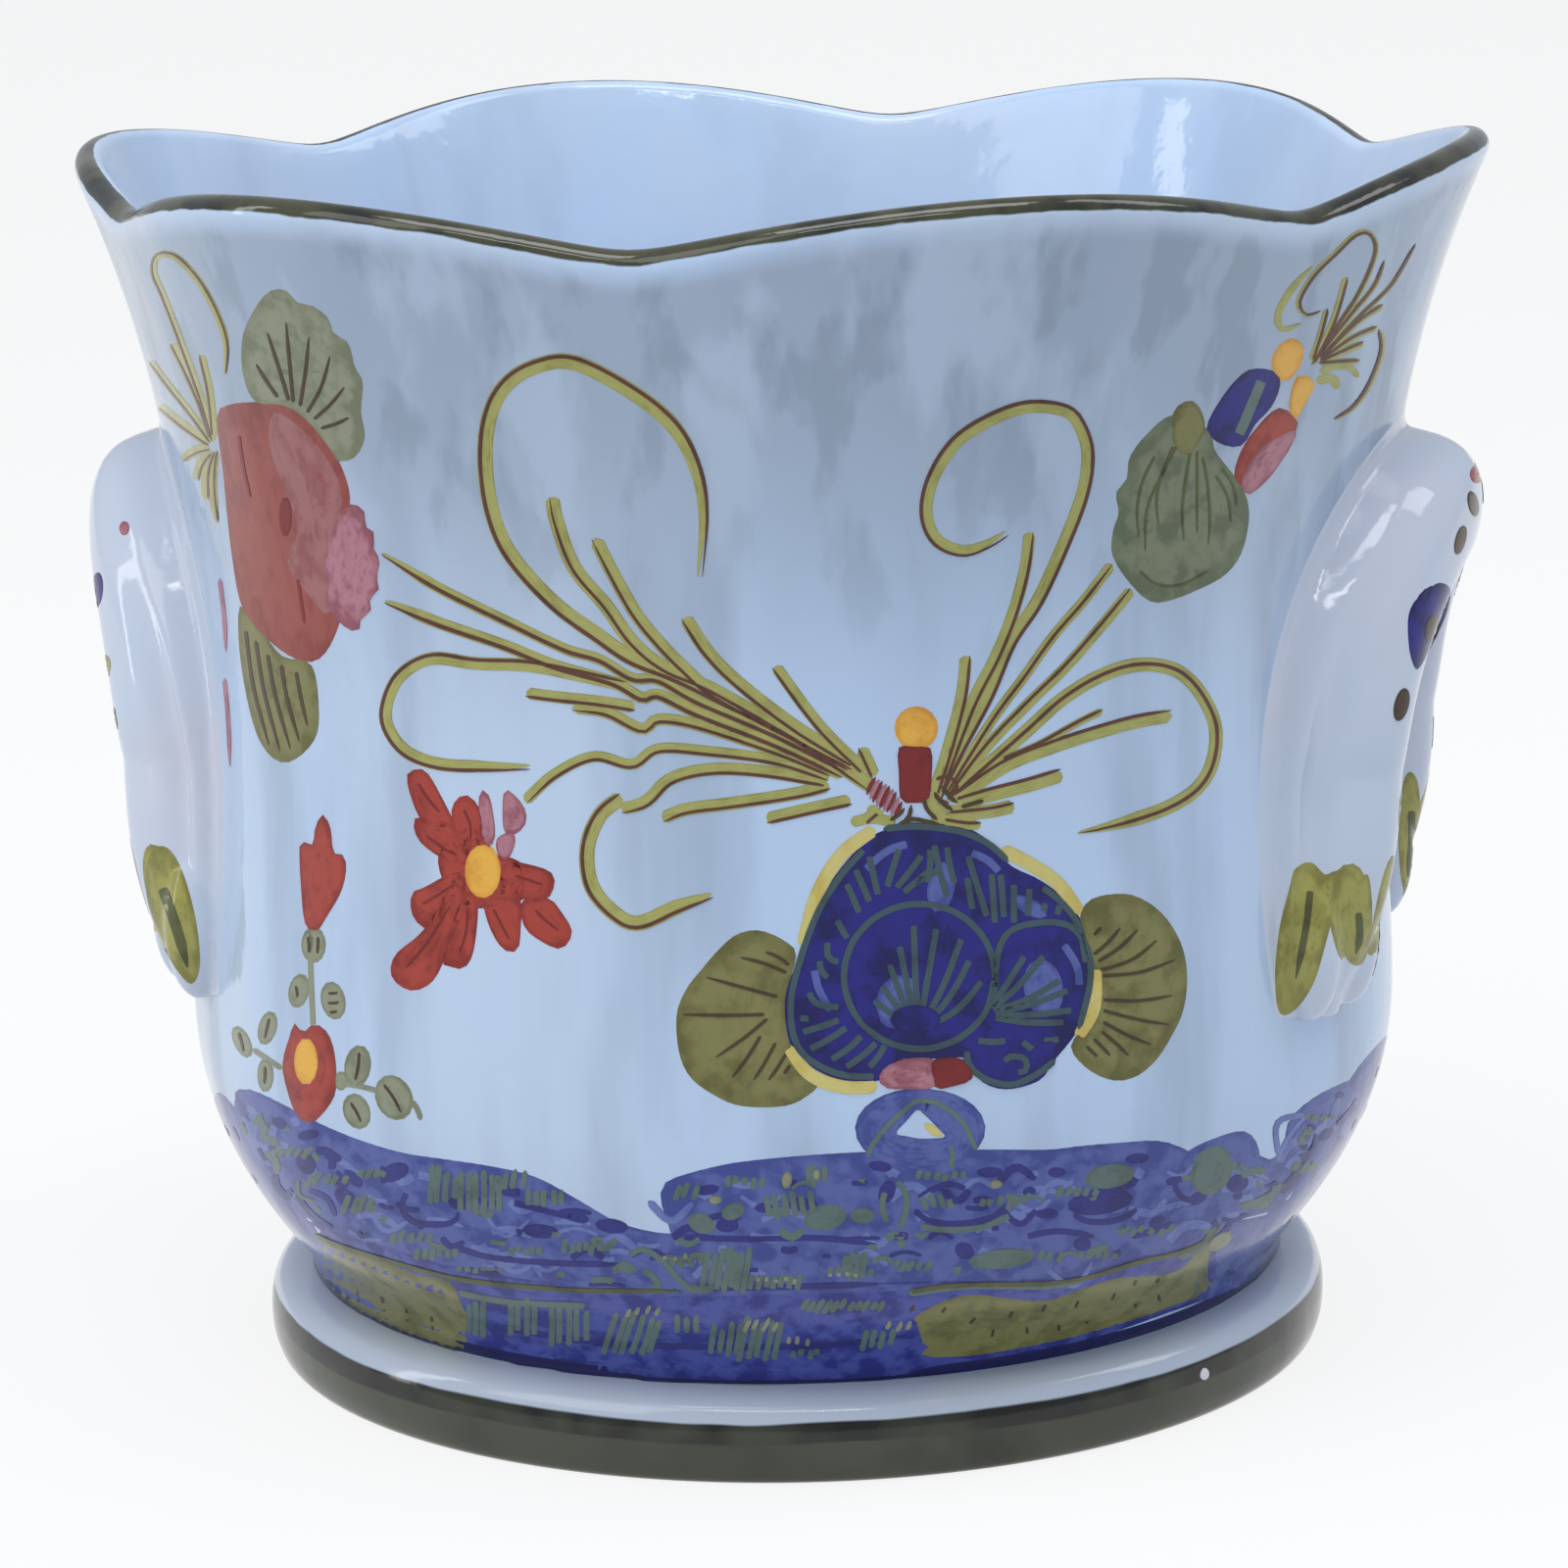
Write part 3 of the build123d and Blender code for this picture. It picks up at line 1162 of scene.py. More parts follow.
    def patch(self, outline: Sequence[Point], lift: float = 0.0001) -> None:
        """Fills a closed outline.

        Args:
            outline: Control points round it.
            lift: How far it stands over the surface.
        """
        edge = smooth_run(outline, self.cell / self.fineness, closed=True)
        centre = Vector((0.0, 0.0))
        for point in edge[:-1]:
            centre += point / (len(edge) - 1)
        whole = run_length(edge)
        reach = max((point - centre).length for point in edge)
        rings = max(2, math.ceil(reach / self.cell))
        around = max(self.fewest_sides, math.ceil(whole / self.cell * self.sides_share))
        bit = self.start()
        shares = [step / rings for step in range(rings)]
        shares += [self.rim_share, 1 + self.cell * self.rim_slope / reach]
        turned(bit, [(share, 0.0) for share in shares], around)
        bmesh.ops.remove_doubles(bit, verts=bit.verts, dist=SAME_PLACE * 10)
        flat: dict[bmesh.types.BMVert, Flat] = {}
        for vert in bit.verts:
            share = vert.co.xy.length
            turn = math.atan2(vert.co.y, vert.co.x) % math.tau / math.tau
            spot = centre + (at_share(edge, turn) - centre) * share
            high = lift if share < self.edge else self.sink
            flat[vert] = (spot.x, spot.y, high, turn * whole, share)
        self.settle(bit, flat)

    def sheet(self, lower: Sequence[Point], upper: Sequence[Point], lift: float = 0.0001) -> None:
        """Fills the space between two lines.

        Args:
            lower: Control points of one line.
            upper: Control points of the other, in the same direction.
            lift: How far it stands over the surface.
        """
        step = self.cell / self.fineness
        low_line, high_line = smooth_run(lower, step), smooth_run(upper, step)
        length = max(run_length(low_line), run_length(high_line))
        gaps = [at_share(high_line, share) - at_share(low_line, share) for share in spaced(0, 1, 4, True)]
        bands = max(3, math.ceil(max(gap.length for gap in gaps) / self.cell))
        columns = max(3, round(length / self.cell))
        bit = self.start()
        bmesh.ops.create_grid(bit, x_segments=columns, y_segments=bands, size=1.0)
        flat: dict[bmesh.types.BMVert, Flat] = {}
        for vert in bit.verts:
            share, across = (vert.co.x + 1) / 2, vert.co.y
            low, high = at_share(low_line, share), at_share(high_line, share)
            if 1 - self.rim_rows / bands < abs(across) < self.edge:
                half_cell = self.cell * 0.5 / max(SAME_PLACE, (high - low).length)
                across = math.copysign(1 - min(self.rim_most, half_cell), across)
            spot = low.lerp(high, (across + 1) / 2)
            inside = abs(across) < self.edge and self.end < share < 1 - self.end
            up = lift if inside else self.sink
            flat[vert] = (spot.x, spot.y, up, share * length, across)
        self.settle(bit, flat)

    def finish(self, slot: str, turns: Iterable[Matrix] = (Matrix.Identity(4),)) -> bpy.types.Object:
        """Makes the film a piece, repeated where the pattern comes again.

        Args:
            slot: Not used.
            turns: The places at which the film is laid.

        Returns:
            The new object.
        """
        whole = bmesh.new()
        for turn in turns:
            bit = self.shape.copy()
            bmesh.ops.transform(bit, matrix=turn, verts=bit.verts)
            facing = bit.verts.layers.float_vector["facing"]
            spin = turn.to_3x3()
            for vert in bit.verts:
                vert[facing] = spin @ vert[facing]
            pour(bit, whole)
        mesh = bpy.data.meshes.new(self.name)
        whole.to_mesh(mesh)
        whole.free()
        self.shape.free()
        mesh.shade_smooth()
        normals = [tuple(item.vector) for item in mesh.attributes["facing"].data]
        mesh.normals_split_custom_set_from_vertices(normals)
        mesh.attributes.remove(mesh.attributes["facing"])
        return new_object(self.name, mesh, finish_of(self.paint))


@dataclass
class Bowl:
    """The lobed bowl, closed over its lip, its floor and its underside."""

    form: PotForm
    glaze: WallGlaze = field(default_factory=WallGlaze)
    around: int = 288
    neck_rings: int = 4
    belly_rings: int = 18
    waist_rings: int = 10
    flare_rings: int = 24
    lip_rings: int = 12
    corner: float = 0.007
    corner_rings: int = 6
    floor_shares: tuple[float, ...] = (0.8, 0.5, 0.2, 0.0)
    under_shares: tuple[float, ...] = (0.0, 0.3, 0.6, 0.85, 0.97)

    def section(self, angle: float) -> Section:
        """Traces the wall cut at an angle, from the underside's middle to the floor's.

        Args:
            angle: Angle from the X axis, in radians.

        Returns:
            Radius, height and the run from the crest, outside negative, for each ring.
        """
        form = self.form
        crest = form.crest(angle)
        lean = form.lean(crest)
        radius = form.wall / 2 * math.cos(lean)
        middle = form.outer_radius(angle, crest) - form.wall / 2
        outer_end = crest - radius * math.sin(lean)
        inner_end = crest + radius * math.sin(lean)
        heights = spaced(form.foot_height, form.neck_height, self.neck_rings)
        heights += spaced(form.neck_top, form.belly_height - form.neck_top, self.belly_rings)
        heights += spaced(form.belly_height, form.waist_height - form.belly_height, self.waist_rings)
        waist = form.waist_height
        outer_heights = heights + spaced(waist, outer_end - waist, self.flare_rings, True)
        run = [(form.neck_radius * share, form.foot_height) for share in self.under_shares]
        run += [(form.outer_radius(angle, height), height) for height in outer_heights]
        for step in range(1, self.lip_rings):
            turn = math.pi * step / self.lip_rings - lean
            run.append((middle + radius * math.cos(turn), crest + radius * math.sin(turn)))
        crest_index = len(run) - self.lip_rings // 2
        corner_height = form.floor_height + self.corner
        inner_heights = [height for height in heights if height > corner_height]
        inner_heights += spaced(waist, inner_end - waist, self.flare_rings, True)
        for height in reversed(inner_heights):
            run.append((form.outer_radius(angle, height) - form.depth(height), height))
        corner_radius = form.outer_radius(angle, corner_height) - form.depth(corner_height)
        for step in range(1, self.corner_rings + 1):
            turn = math.pi / 2 * step / self.corner_rings
            inset = self.corner * (1 - math.cos(turn))
            run.append((corner_radius - inset, corner_height - self.corner * math.sin(turn)))
        flat = corner_radius - self.corner
        run += [(flat * share, form.floor_height) for share in self.floor_shares]
        lengths = [0.0]
        for before, after in zip(run, run[1:]):
            lengths.append(lengths[-1] + math.hypot(after[0] - before[0], after[1] - before[1]))
        return [
            (radius_here, height, length - lengths[crest_index])
            for (radius_here, height), length in zip(run, lengths)
        ]

    def build(self) -> bpy.types.Object:
        """Builds the bowl and puts it in place of the CAD node.

        Returns:
            The bowl.
        """
        shape = bmesh.new()
        turned(shape, [(index + 1.0, 0.0) for index in range(len(self.section(0.0)))], self.around)
        crest_run = shape.verts.layers.float.new("crest_run")
        sections: dict[int, Section] = {}
        for vert in shape.verts:
            turn = round(math.atan2(vert.co.y, vert.co.x) / math.tau * self.around) % self.around
            angle = math.tau * turn / self.around
            if turn not in sections:
                sections[turn] = self.section(angle)
            radius, height, run = sections[turn][round(vert.co.xy.length) - 1]
            vert.co = (radius * math.cos(angle), radius * math.sin(angle), height)
            vert[crest_run] = run
        bmesh.ops.remove_doubles(shape, verts=shape.verts, dist=SAME_PLACE)
        mesh = closed_mesh(shape, "glazed_bowl")
        bowl = new_object("glazed_bowl", mesh, self.glaze.material())
        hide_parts("bowl")
        return bowl


@dataclass
class FootRing:
    """The ring foot, turned from its section."""

    glaze: FootGlaze = field(default_factory=FootGlaze)
    steps: int = 240
    inner_radius: float = 0.0804
    bare_edge: float = 0.0968
    height: float = 0.0156
    rounding: float = 0.0007
    chamfer: float = 0.3
    fineness: float = 0.0008
    swell: tuple[Point, ...] = way(
        "0.0974,0.0010 0.0981,0.0032 0.0984,0.0060 0.0983,0.0088 0.0978,0.0113 0.0968,0.0132 0.0951,0.0145 "
        "0.0930,0.0152 0.0904,0.0156"
    )

    def build(self) -> bpy.types.Object:
        """Builds the foot and puts it in place of the CAD node.

        Returns:
            The foot ring.
        """
        side = [(point.x, point.y) for point in smooth_run(self.swell, self.fineness)]
        inner, cut = self.inner_radius, self.rounding * self.chamfer
        section = [
            (inner, self.height),
            (inner, self.height / 2),
            (inner, self.rounding),
            (inner + cut, cut),
            (inner + self.rounding, 0.0),
            ((inner + self.bare_edge) / 2, 0.0),
            (self.bare_edge - self.rounding, 0.0),
            (self.bare_edge, cut),
        ] + side
        shape = bmesh.new()
        turned(shape, section, self.steps, closed=True)
        bmesh.ops.remove_doubles(shape, verts=shape.verts, dist=SAME_PLACE)
        mesh = closed_mesh(shape, "banded_foot")
        foot = new_object("banded_foot", mesh, self.glaze.material())
        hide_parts("foot_ring")
        return foot


@dataclass
class Handle:
    """An arched strap of clay luted to the wall, its legs pressed out into leaf lobes."""

    form: PotForm
    name: str
    node: str
    turn: float
    spread: float = 0.036
    crown_height: float = 0.1575
    shoulder_height: float = 0.115
    tip_height: float = 0.074
    splay: float = 0.006
    depth: float = 0.0164
    leg_depth: float = 0.0132
    tip_depth: float = 0.003
    inner_width: float = 0.013
    crown_outer: float = 0.0116
    leg_outer: float = 0.016
    tip_share: float = 0.55
    leg_fall: float = 2.6
    root: float = 0.003
    bead: float = 0.0022
    bead_width: float = 0.0012
    bead_in: float = 0.0022
    bead_from: float = 0.9
    bead_to: float = 2.1
    groove: float = 0.55
    groove_in: float = 0.0055
    groove_width: float = 1.4
    flange: float = 0.0045
    flange_fold: float = 0.3
    flange_rise: float = 0.0003
    flange_dip: float = -0.0004
    leaf_length: float = 0.029
    leaf_width: float = 0.013
    leaf_height: float = 0.086
    leaf_spacing: float = 0.013
    leaf_offset: float = 0.010
    leaf_lift: float = 0.0016
    voxel: float = 0.00065
    smoothing: int = 2
    softness: float = 0.5
    parts: int = 110
    stations: int = 96
    reach: float = 2.06
    fineness: float = 0.0009
    finest: float = 0.0001
    crown_across: tuple[float, ...] = (-1.0, -0.98, -0.8, -0.15, 0.52, 0.9, 1.0)
    crown_up: tuple[float, ...] = (0.0, 0.55, 0.9, 1.0, 0.9, 0.6, 0.0)
    leg_across: tuple[float, ...] = (-1.0, -0.96, -0.7, -0.15, 0.4, 0.76, 1.0)
    leg_up: tuple[float, ...] = (0.0, 0.5, 0.88, 1.0, 0.74, 0.32, 0.0)

    def on_wall(self, lateral: float, height: float) -> Vector:
        """Point of the wall at a length round it from the handle's middle."""
        return self.form.point(lateral / self.form.waist_radius, height)

    def station(self, run: float) -> tuple[float, float, float, float]:
        """Gives a station along the strap.

        Args:
            run: From -2 at one tip, over -1 and 1 at the shoulders, to 2 at the other tip.

        Returns:
            Length round the wall, height, depth and the leg share.
        """
        side, share = math.copysign(1.0, run), abs(run)
        if share > 1:
            down = share - 1
            lateral = side * (self.spread + self.splay * down)
            height = self.shoulder_height + (self.tip_height - self.shoulder_height) * down
            fall = 1 - min(1.0, down) ** self.leg_fall
            return lateral, height, self.tip_depth + (self.leg_depth - self.tip_depth) * fall, share
        turn = run * math.pi / 2
        height = self.shoulder_height + (self.crown_height - self.shoulder_height) * math.cos(turn)
        depth = self.leg_depth + (self.depth - self.leg_depth) * math.sqrt(max(0.0, math.cos(turn)))
        return self.spread * math.sin(turn), height, depth, share

    def bulge(self, distance: float, leg_share: float) -> float:
        """Gives the height that the rolled bead and its groove add.

        Args:
            distance: Distance in from the outer root.
            leg_share: 0 at the crown, 1 at a shoulder, 2 at a tip.

        Returns:
            The height, below zero in the groove.
        """
        bead = math.exp(-(((distance - self.bead_in) / self.bead_width) ** 2))
        width = self.bead_width * self.groove_width
        groove = math.exp(-(((distance - self.groove_in) / width) ** 2))
        fade = min(1.0, max(0.0, self.bead_to - leg_share))
        fade *= min(1.0, leg_share / self.bead_from) ** 2
        return self.bead * fade * (bead - self.groove * groove)

    def outline(self, depth: float, leg_share: float) -> list[Point]:
        """Gives the strap's section at a station, with the bead along its outer root.

        Args:
            depth: How far the strap stands off the wall.
            leg_share: 0 at the crown, 1 at a shoulder, 2 at a tip.

        Returns:
            Distances across and off the wall, from the inner root round to the outer root.
        """
        blend = min(1.0, leg_share)
        narrow = 1 - (1 - self.tip_share) * max(0.0, leg_share - 1) ** 2
        outer = self.crown_outer + (self.leg_outer - self.crown_outer) * blend
        knots: list[Point] = []
        for index, crown_across in enumerate(self.crown_across):
            across = crown_across + (self.leg_across[index] - crown_across) * blend
            up = self.crown_up[index] + (self.leg_up[index] - self.crown_up[index]) * blend
            width = outer if across > 0 else self.inner_width
            knots.append((across * width * narrow, up * depth))
        first, last = knots[0][0], knots[-1][0]
        run = smooth_run(knots, self.fineness)
        strap = [(point.x, point.y + self.bulge(last - point.x, leg_share)) for point in run]
        skirt = (
            (self.flange, -self.root),
            (self.flange, self.flange_dip),
            (self.flange * self.flange_fold, self.flange_rise),
        )
        inner = [(first - out, up) for out, up in skirt]
        outer_skirt = [(last + out, up) for out, up in reversed(skirt)]
        return inner + strap[1:-1] + outer_skirt

    def build(self) -> bpy.types.Object:
        """Builds the handle and puts it in place of its CAD node.

        Returns:
            The handle.
        """
        shape = bmesh.new()
        made = bmesh.ops.create_grid(
            shape, x_segments=self.stations, y_segments=self.parts, size=1.0
        )
        runs = spaced(-self.reach, 2 * self.reach, self.stations, True)
        stations = [self.station(run) for run in runs]
        sections: list[list[Vector]] = []
        for index, (lateral, height, depth, share) in enumerate(stations):
            before, after = stations[max(0, index - 1)], stations[min(self.stations, index + 1)]
            here = self.on_wall(lateral, height)
            along = (self.on_wall(*after[:2]) - self.on_wall(*before[:2])).normalized()
            sideways = self.form.normal(lateral / self.form.waist_radius, height).cross(along)
            outline = smooth_run(self.outline(depth, share), self.finest)
            section: list[Vector] = []
            for part in range(self.parts + 1):
                across, up = outline[round((len(outline) - 1) * part / self.parts)]
                flat = here + sideways * across
                angle = math.atan2(flat.y, flat.x)
                section.append(self.form.point(angle, flat.z) + self.form.normal(angle, flat.z) * up)
            sections.append(section)
        for vert in made["verts"]:
            index = round((vert.co.x + 1) / 2 * self.stations)
            part = round((vert.co.y + 1) / 2 * self.parts)
            vert.co = sections[index][part]
        ends = [edge for edge in shape.edges if edge.is_boundary]
        first = [edge for edge in ends if self.joins(edge, [s[0] for s in sections])]
        last = [edge for edge in ends if self.joins(edge, [s[-1] for s in sections])]
        bmesh.ops.bridge_loops(shape, edges=first + last)
        bmesh.ops.holes_fill(shape, edges=[edge for edge in shape.edges if edge.is_boundary])
        self.add_leaves(shape)
        turn = Matrix.Rotation(self.turn, 3, "Z")
        bmesh.ops.rotate(shape, cent=(0, 0, 0), matrix=turn, verts=shape.verts)
        mesh = self.fuse(closed_mesh(shape, self.name))
        handle = new_object(self.name, mesh, PlainGlaze().material())
        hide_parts(self.node)
        return handle

    @staticmethod
    def joins(edge: bmesh.types.BMEdge, places: list[Vector]) -> bool:
        """Whether both ends of an edge are among the places."""
        near = SAME_PLACE / 10
        return all(any((vert.co - place).length < near for place in places) for vert in edge.verts)

    def add_leaves(self, shape: Shape) -> None:
        """Adds the pressed leaf lobes at both tips.

        Args:
            shape: The handle's shape, which gets the lobes.
        """
        for side in (-1, 1):
            for offset in (0.0, self.leaf_spacing):
                lateral = side * (self.spread + self.leaf_offset - offset)
                upper = self.on_wall(lateral, self.leaf_height + self.leaf_length / 2)
                lower = self.on_wall(lateral, self.leaf_height - self.leaf_length / 2)
                out = self.form.normal(lateral / self.form.waist_radius, self.leaf_height)
                along = (upper - lower).normalized()
                across = along.cross(out).normalized()
                turn = Matrix((across * self.leaf_width, out * self.leaf_width, along * self.leaf_length))
                place = Matrix.Translation((upper + lower) / 2 + out * self.leaf_lift)
                matrix = place @ turn.transposed().to_4x4()
                bmesh.ops.create_icosphere(shape, subdivisions=4, radius=0.5, matrix=matrix)

    def fuse(self, mesh: bpy.types.Mesh) -> bpy.types.Mesh:
        """Fuses the strap and its lobes into one skin and softens it as wet clay.

        Args:
            mesh: The closed shells.

        Returns:
            The fused, smooth mesh.
        """
        rough = placed(mesh.name, mesh)
        remesh = rough.modifiers.new("fuse", "REMESH")
        remesh.mode = "VOXEL"
        remesh.voxel_size = self.voxel
        graph = bpy.context.evaluated_depsgraph_get()
        fused = bpy.data.meshes.new_from_object(rough.evaluated_get(graph))
        bpy.data.objects.remove(rough)
        shape = bmesh.new()
        shape.from_mesh(fused)
        for _ in range(self.smoothing):
            bmesh.ops.smooth_vert(
                shape,
                verts=shape.verts,
                factor=self.softness,
                use_axis_x=True,
                use_axis_y=True,
                use_axis_z=True,
            )
        bpy.data.meshes.remove(fused)
        return closed_mesh(shape, self.name)


@dataclass(frozen=True)
class Blade:
    """One olive stroke of a spray, and the width and side of the brown line that follows it."""

    points: tuple[Point, ...]
    width: float = 14.0
    side: float = -0.6
    line: float = 3.6
    tail: float = 0.0
    head: float = 0.0


# The painting follows, in pixels of the photograph where nothing else is said

# Spray at the left of the knot, from the knot outwards
LEFT_SPRAY = (
    Blade(
        way(
            "891,804 811,750 735,712 690,690 645,672 612,650 566,616 523,569 503,526 495,473 499,426 516,393 "
            "546,374 586,370 645,400 688,436 710,479 717,526 712,588"
        ),
        17.0, 0.55, 4.4, 0.16,
    ),
    Blade(way("870,786 735,708 678,682 645,655 619,619 586,579 568,532 563,505"), 16.0, 0.3),
    Blade(way("874,784 741,715 698,682 655,635 629,592 607,549"), 15.0, 0.45),
    Blade(way("874,780 811,741 755,698 722,665 698,628"), 15.0, 0.55),
    Blade(way("884,788 846,751 821,721 790,678"), 13.0, 0.55),
    Blade(way("893,794 878,761"), 14.0, 0.4),
    Blade(
        way("866,788 791,750 712,716 672,694 645,692 612,673 576,662 513,632 446,599 388,563"),
        12.0, 0.25, 4.6, 0.1,
    ),
    Blade(
        way("862,792 791,759 712,728 672,709 655,712 625,696 566,679 513,658 446,635 391,612"),
        13.0, 0.35, 4.8, 0.08,
    ),
    Blade(
        way(
            "640,700 592,689 539,679 486,677 440,672 408,690 394,721 397,745 416,768 450,780 496,782 543,781"
        ),
        14.0, -0.55, 4.0, 0.14,
    ),
    Blade(way("650,722 612,716 566,711 535,707"), 13.0, 0.5),
    Blade(way("850,790 791,766 712,740 672,734 655,744 619,727 584,722"), 13.0, 0.4),
    Blade(way("848,794 791,776 725,767 672,764 645,780 606,772 566,790 534,819"), 12.0, 0.5),
    Blade(way("846,798 778,787 725,785 684,795 659,818 632,826"), 14.0, 0.6),
    Blade(way("636,812 612,832 599,866 604,905 628,933 652,942 690,926 728,911"), 17.0, -0.5, 4.2, 0.16),
    Blade(way("848,801 811,810 745,820 700,826 674,836"), 14.0, 0.5),
    Blade(way("870,816 828,825 780,836"), 14.0, 0.6),
    Blade(way("896,826 880,840"), 13.0, 0.4),
)

# Spray at the right of the knot
RIGHT_SPRAY = (
    Blade(
        way(
            "952,821 973,775 1007,711 1031,655 1059,612 1087,551 1105,502 1110,463 1102,435 1087,419 "
            "1050,415 1013,427 976,451 952,488 945,524 956,551 982,562 1007,554 1028,541"
        ),
        14.0, -0.7, 4.0, 0.08,
    ),
    Blade(way("957,810 990,722 1016,670 1034,625 1046,580 1051,541"), 13.0, -0.5),
    Blade(way("964,812 1013,734 1044,692 1074,650 1105,614 1136,574"), 11.0, 0.0),
    Blade(way("968,814 1007,762 1050,717 1087,681 1123,640 1156,600"), 12.0, 0.35),
    Blade(way("952,812 967,765 981,711 986,667"), 13.0, -0.6),
    Blade(
        way(
            "966,818 1044,749 1087,711 1129,687 1166,678 1200,684 1224,706 1240,741 1237,778 1221,805 "
            "1191,824 1154,837 1123,845 1098,850"
        ),
        15.0, 0.1, 4.2, 0.12,
    ),
    Blade(way("972,818 1025,782 1074,762 1120,747 1160,736 1196,730"), 15.0, 0.7),
    Blade(way("1020,776 1059,760 1099,738 1127,724"), 8.0, 0.3),
    Blade(way("974,822 1007,812 1050,801 1086,790"), 15.0, 0.8),
    Blade(way("966,832 1007,828 1037,822"), 15.0, 0.4),
    Blade(way("960,838 985,842 1003,842"), 10.0, 0.5),
)

# Tassel at the far left, from its knot outwards
LEFT_TASSEL = (
    Blade(
        way("219,452 205,405 187,355 168,305 157,278 161,261 179,262 203,287 222,322 231,352 229,384"),
        8.0, 0.4, 2.2, 0.12,
    ),
    Blade(way("218,450 205,412 190,378 175,348"), 11.0, 0.4, 2.4),
    Blade(way("217,452 195,422 172,393 152,366"), 8.0, 0.4, 2.4),
    Blade(way("216,454 190,436 160,412"), 11.0, 0.4, 2.4),
    Blade(way("219,448 214,400 205,360"), 9.0, 0.4, 2.2),
    Blade(way("216,456 200,460 184,470"), 11.0, 0.4, 2.4),
    Blade(way("217,458 205,474 200,492"), 11.0, 0.4, 2.4),
    Blade(way("218,458 211,482 211,512"), 11.0, 0.4, 2.4),
    Blade(way("220,458 217,492 221,535"), 10.0, 0.4, 2.2, 0.3),
)

# Tassel at the far right, from its knot outwards
RIGHT_TASSEL = (
    Blade(
        way(
            "1338,374 1360,340 1384,304 1400,270 1404,250 1396,237 1382,240 1364,257 1340,281 1325,308 "
            "1333,322 1350,317"
        ),
        6.0, 0.3, 3.4, 0.1,
    ),
    Blade(way("1341,270 1318,295 1304,321 1309,336 1330,329"), 8.0, 0.0, 0.0, 0.3, 0.3),
    Blade(way("1338,372 1360,328 1374,281"), 7.0, -0.4, 3.2),
    Blade(way("1337,370 1347,340 1354,313"), 6.0, -0.4, 3.0),
    Blade(way("1342,368 1378,322 1402,292 1414,264"), 6.0, 0.3, 3.2, 0.2),
    Blade(way("1344,368 1388,322 1420,290 1446,247"), 5.0, 0.2, 3.2, 0.3),
    Blade(way("1346,368 1384,330 1413,310"), 7.0, 0.3, 3.2),
    Blade(way("1346,369 1380,345 1407,333"), 7.0, 0.3, 3.2),
    Blade(way("1346,370 1372,358 1393,349"), 8.0, 0.3, 3.4),
    Blade(way("1344,371 1368,369 1389,368"), 7.0, 0.2, 3.6),
    Blade(way("1408,334 1410,358 1398,391 1381,416 1360,430"), 6.0, -0.5, 3.2, 0.3),
    Blade(way("1344,380 1362,374 1378,375 1387,387"), 7.0, 0.0, 0.0),
    Blade(way("1342,391 1352,386 1362,388 1364,399"), 10.0, 0.0, 0.0),
)


@dataclass(frozen=True)
class Motif:
    """What one paint gives to a painted motif: patches, ovals, strokes, sheets and hatching."""

    name: str
    paint: Paint
    patches: tuple[tuple[Point, ...], ...] = ()
    ovals: tuple[tuple[float, ...], ...] = ()
    strokes: tuple[tuple[Point, ...], ...] = ()
    sheets: tuple[tuple[tuple[Point, ...], tuple[Point, ...]], ...] = ()
    hatches: tuple[tuple[float, ...], ...] = ()
    width: float = 7.0
    tail: float = 0.0
    lift: float = 0.0001


CARNATION_EDGE = way(
    "897,1102 860,1102 826,1087 808,1068 802,1042 802,1013 812,987 823,957 838,917 867,876 897,850 934,843 "
    "978,843 1008,858 1030,883 1060,898 1085,917 1104,943 1113,987 1110,1020 1097,1054 1074,1083 1060,1102 "
    "1026,1111 1000,1102 986,1080 956,1080 919,1081"
)
LEFT_LEAF_EDGE = way(
    "812,976 801,961 775,950 752,954 734,969 715,991 701,1009 691,1035 693,1072 704,1098 727,1116 756,1128 "
    "801,1128 826,1116 836,1102 815,1083 804,1057 801,1020"
)
RIGHT_LEAF_EDGE = way(
    "1102,939 1111,920 1134,913 1159,915 1185,932 1204,961 1211,994 1207,1031 1193,1061 1178,1083 1159,1098 "
    "1137,1102 1111,1091 1093,1068 1108,1043 1117,1006 1111,972"
)

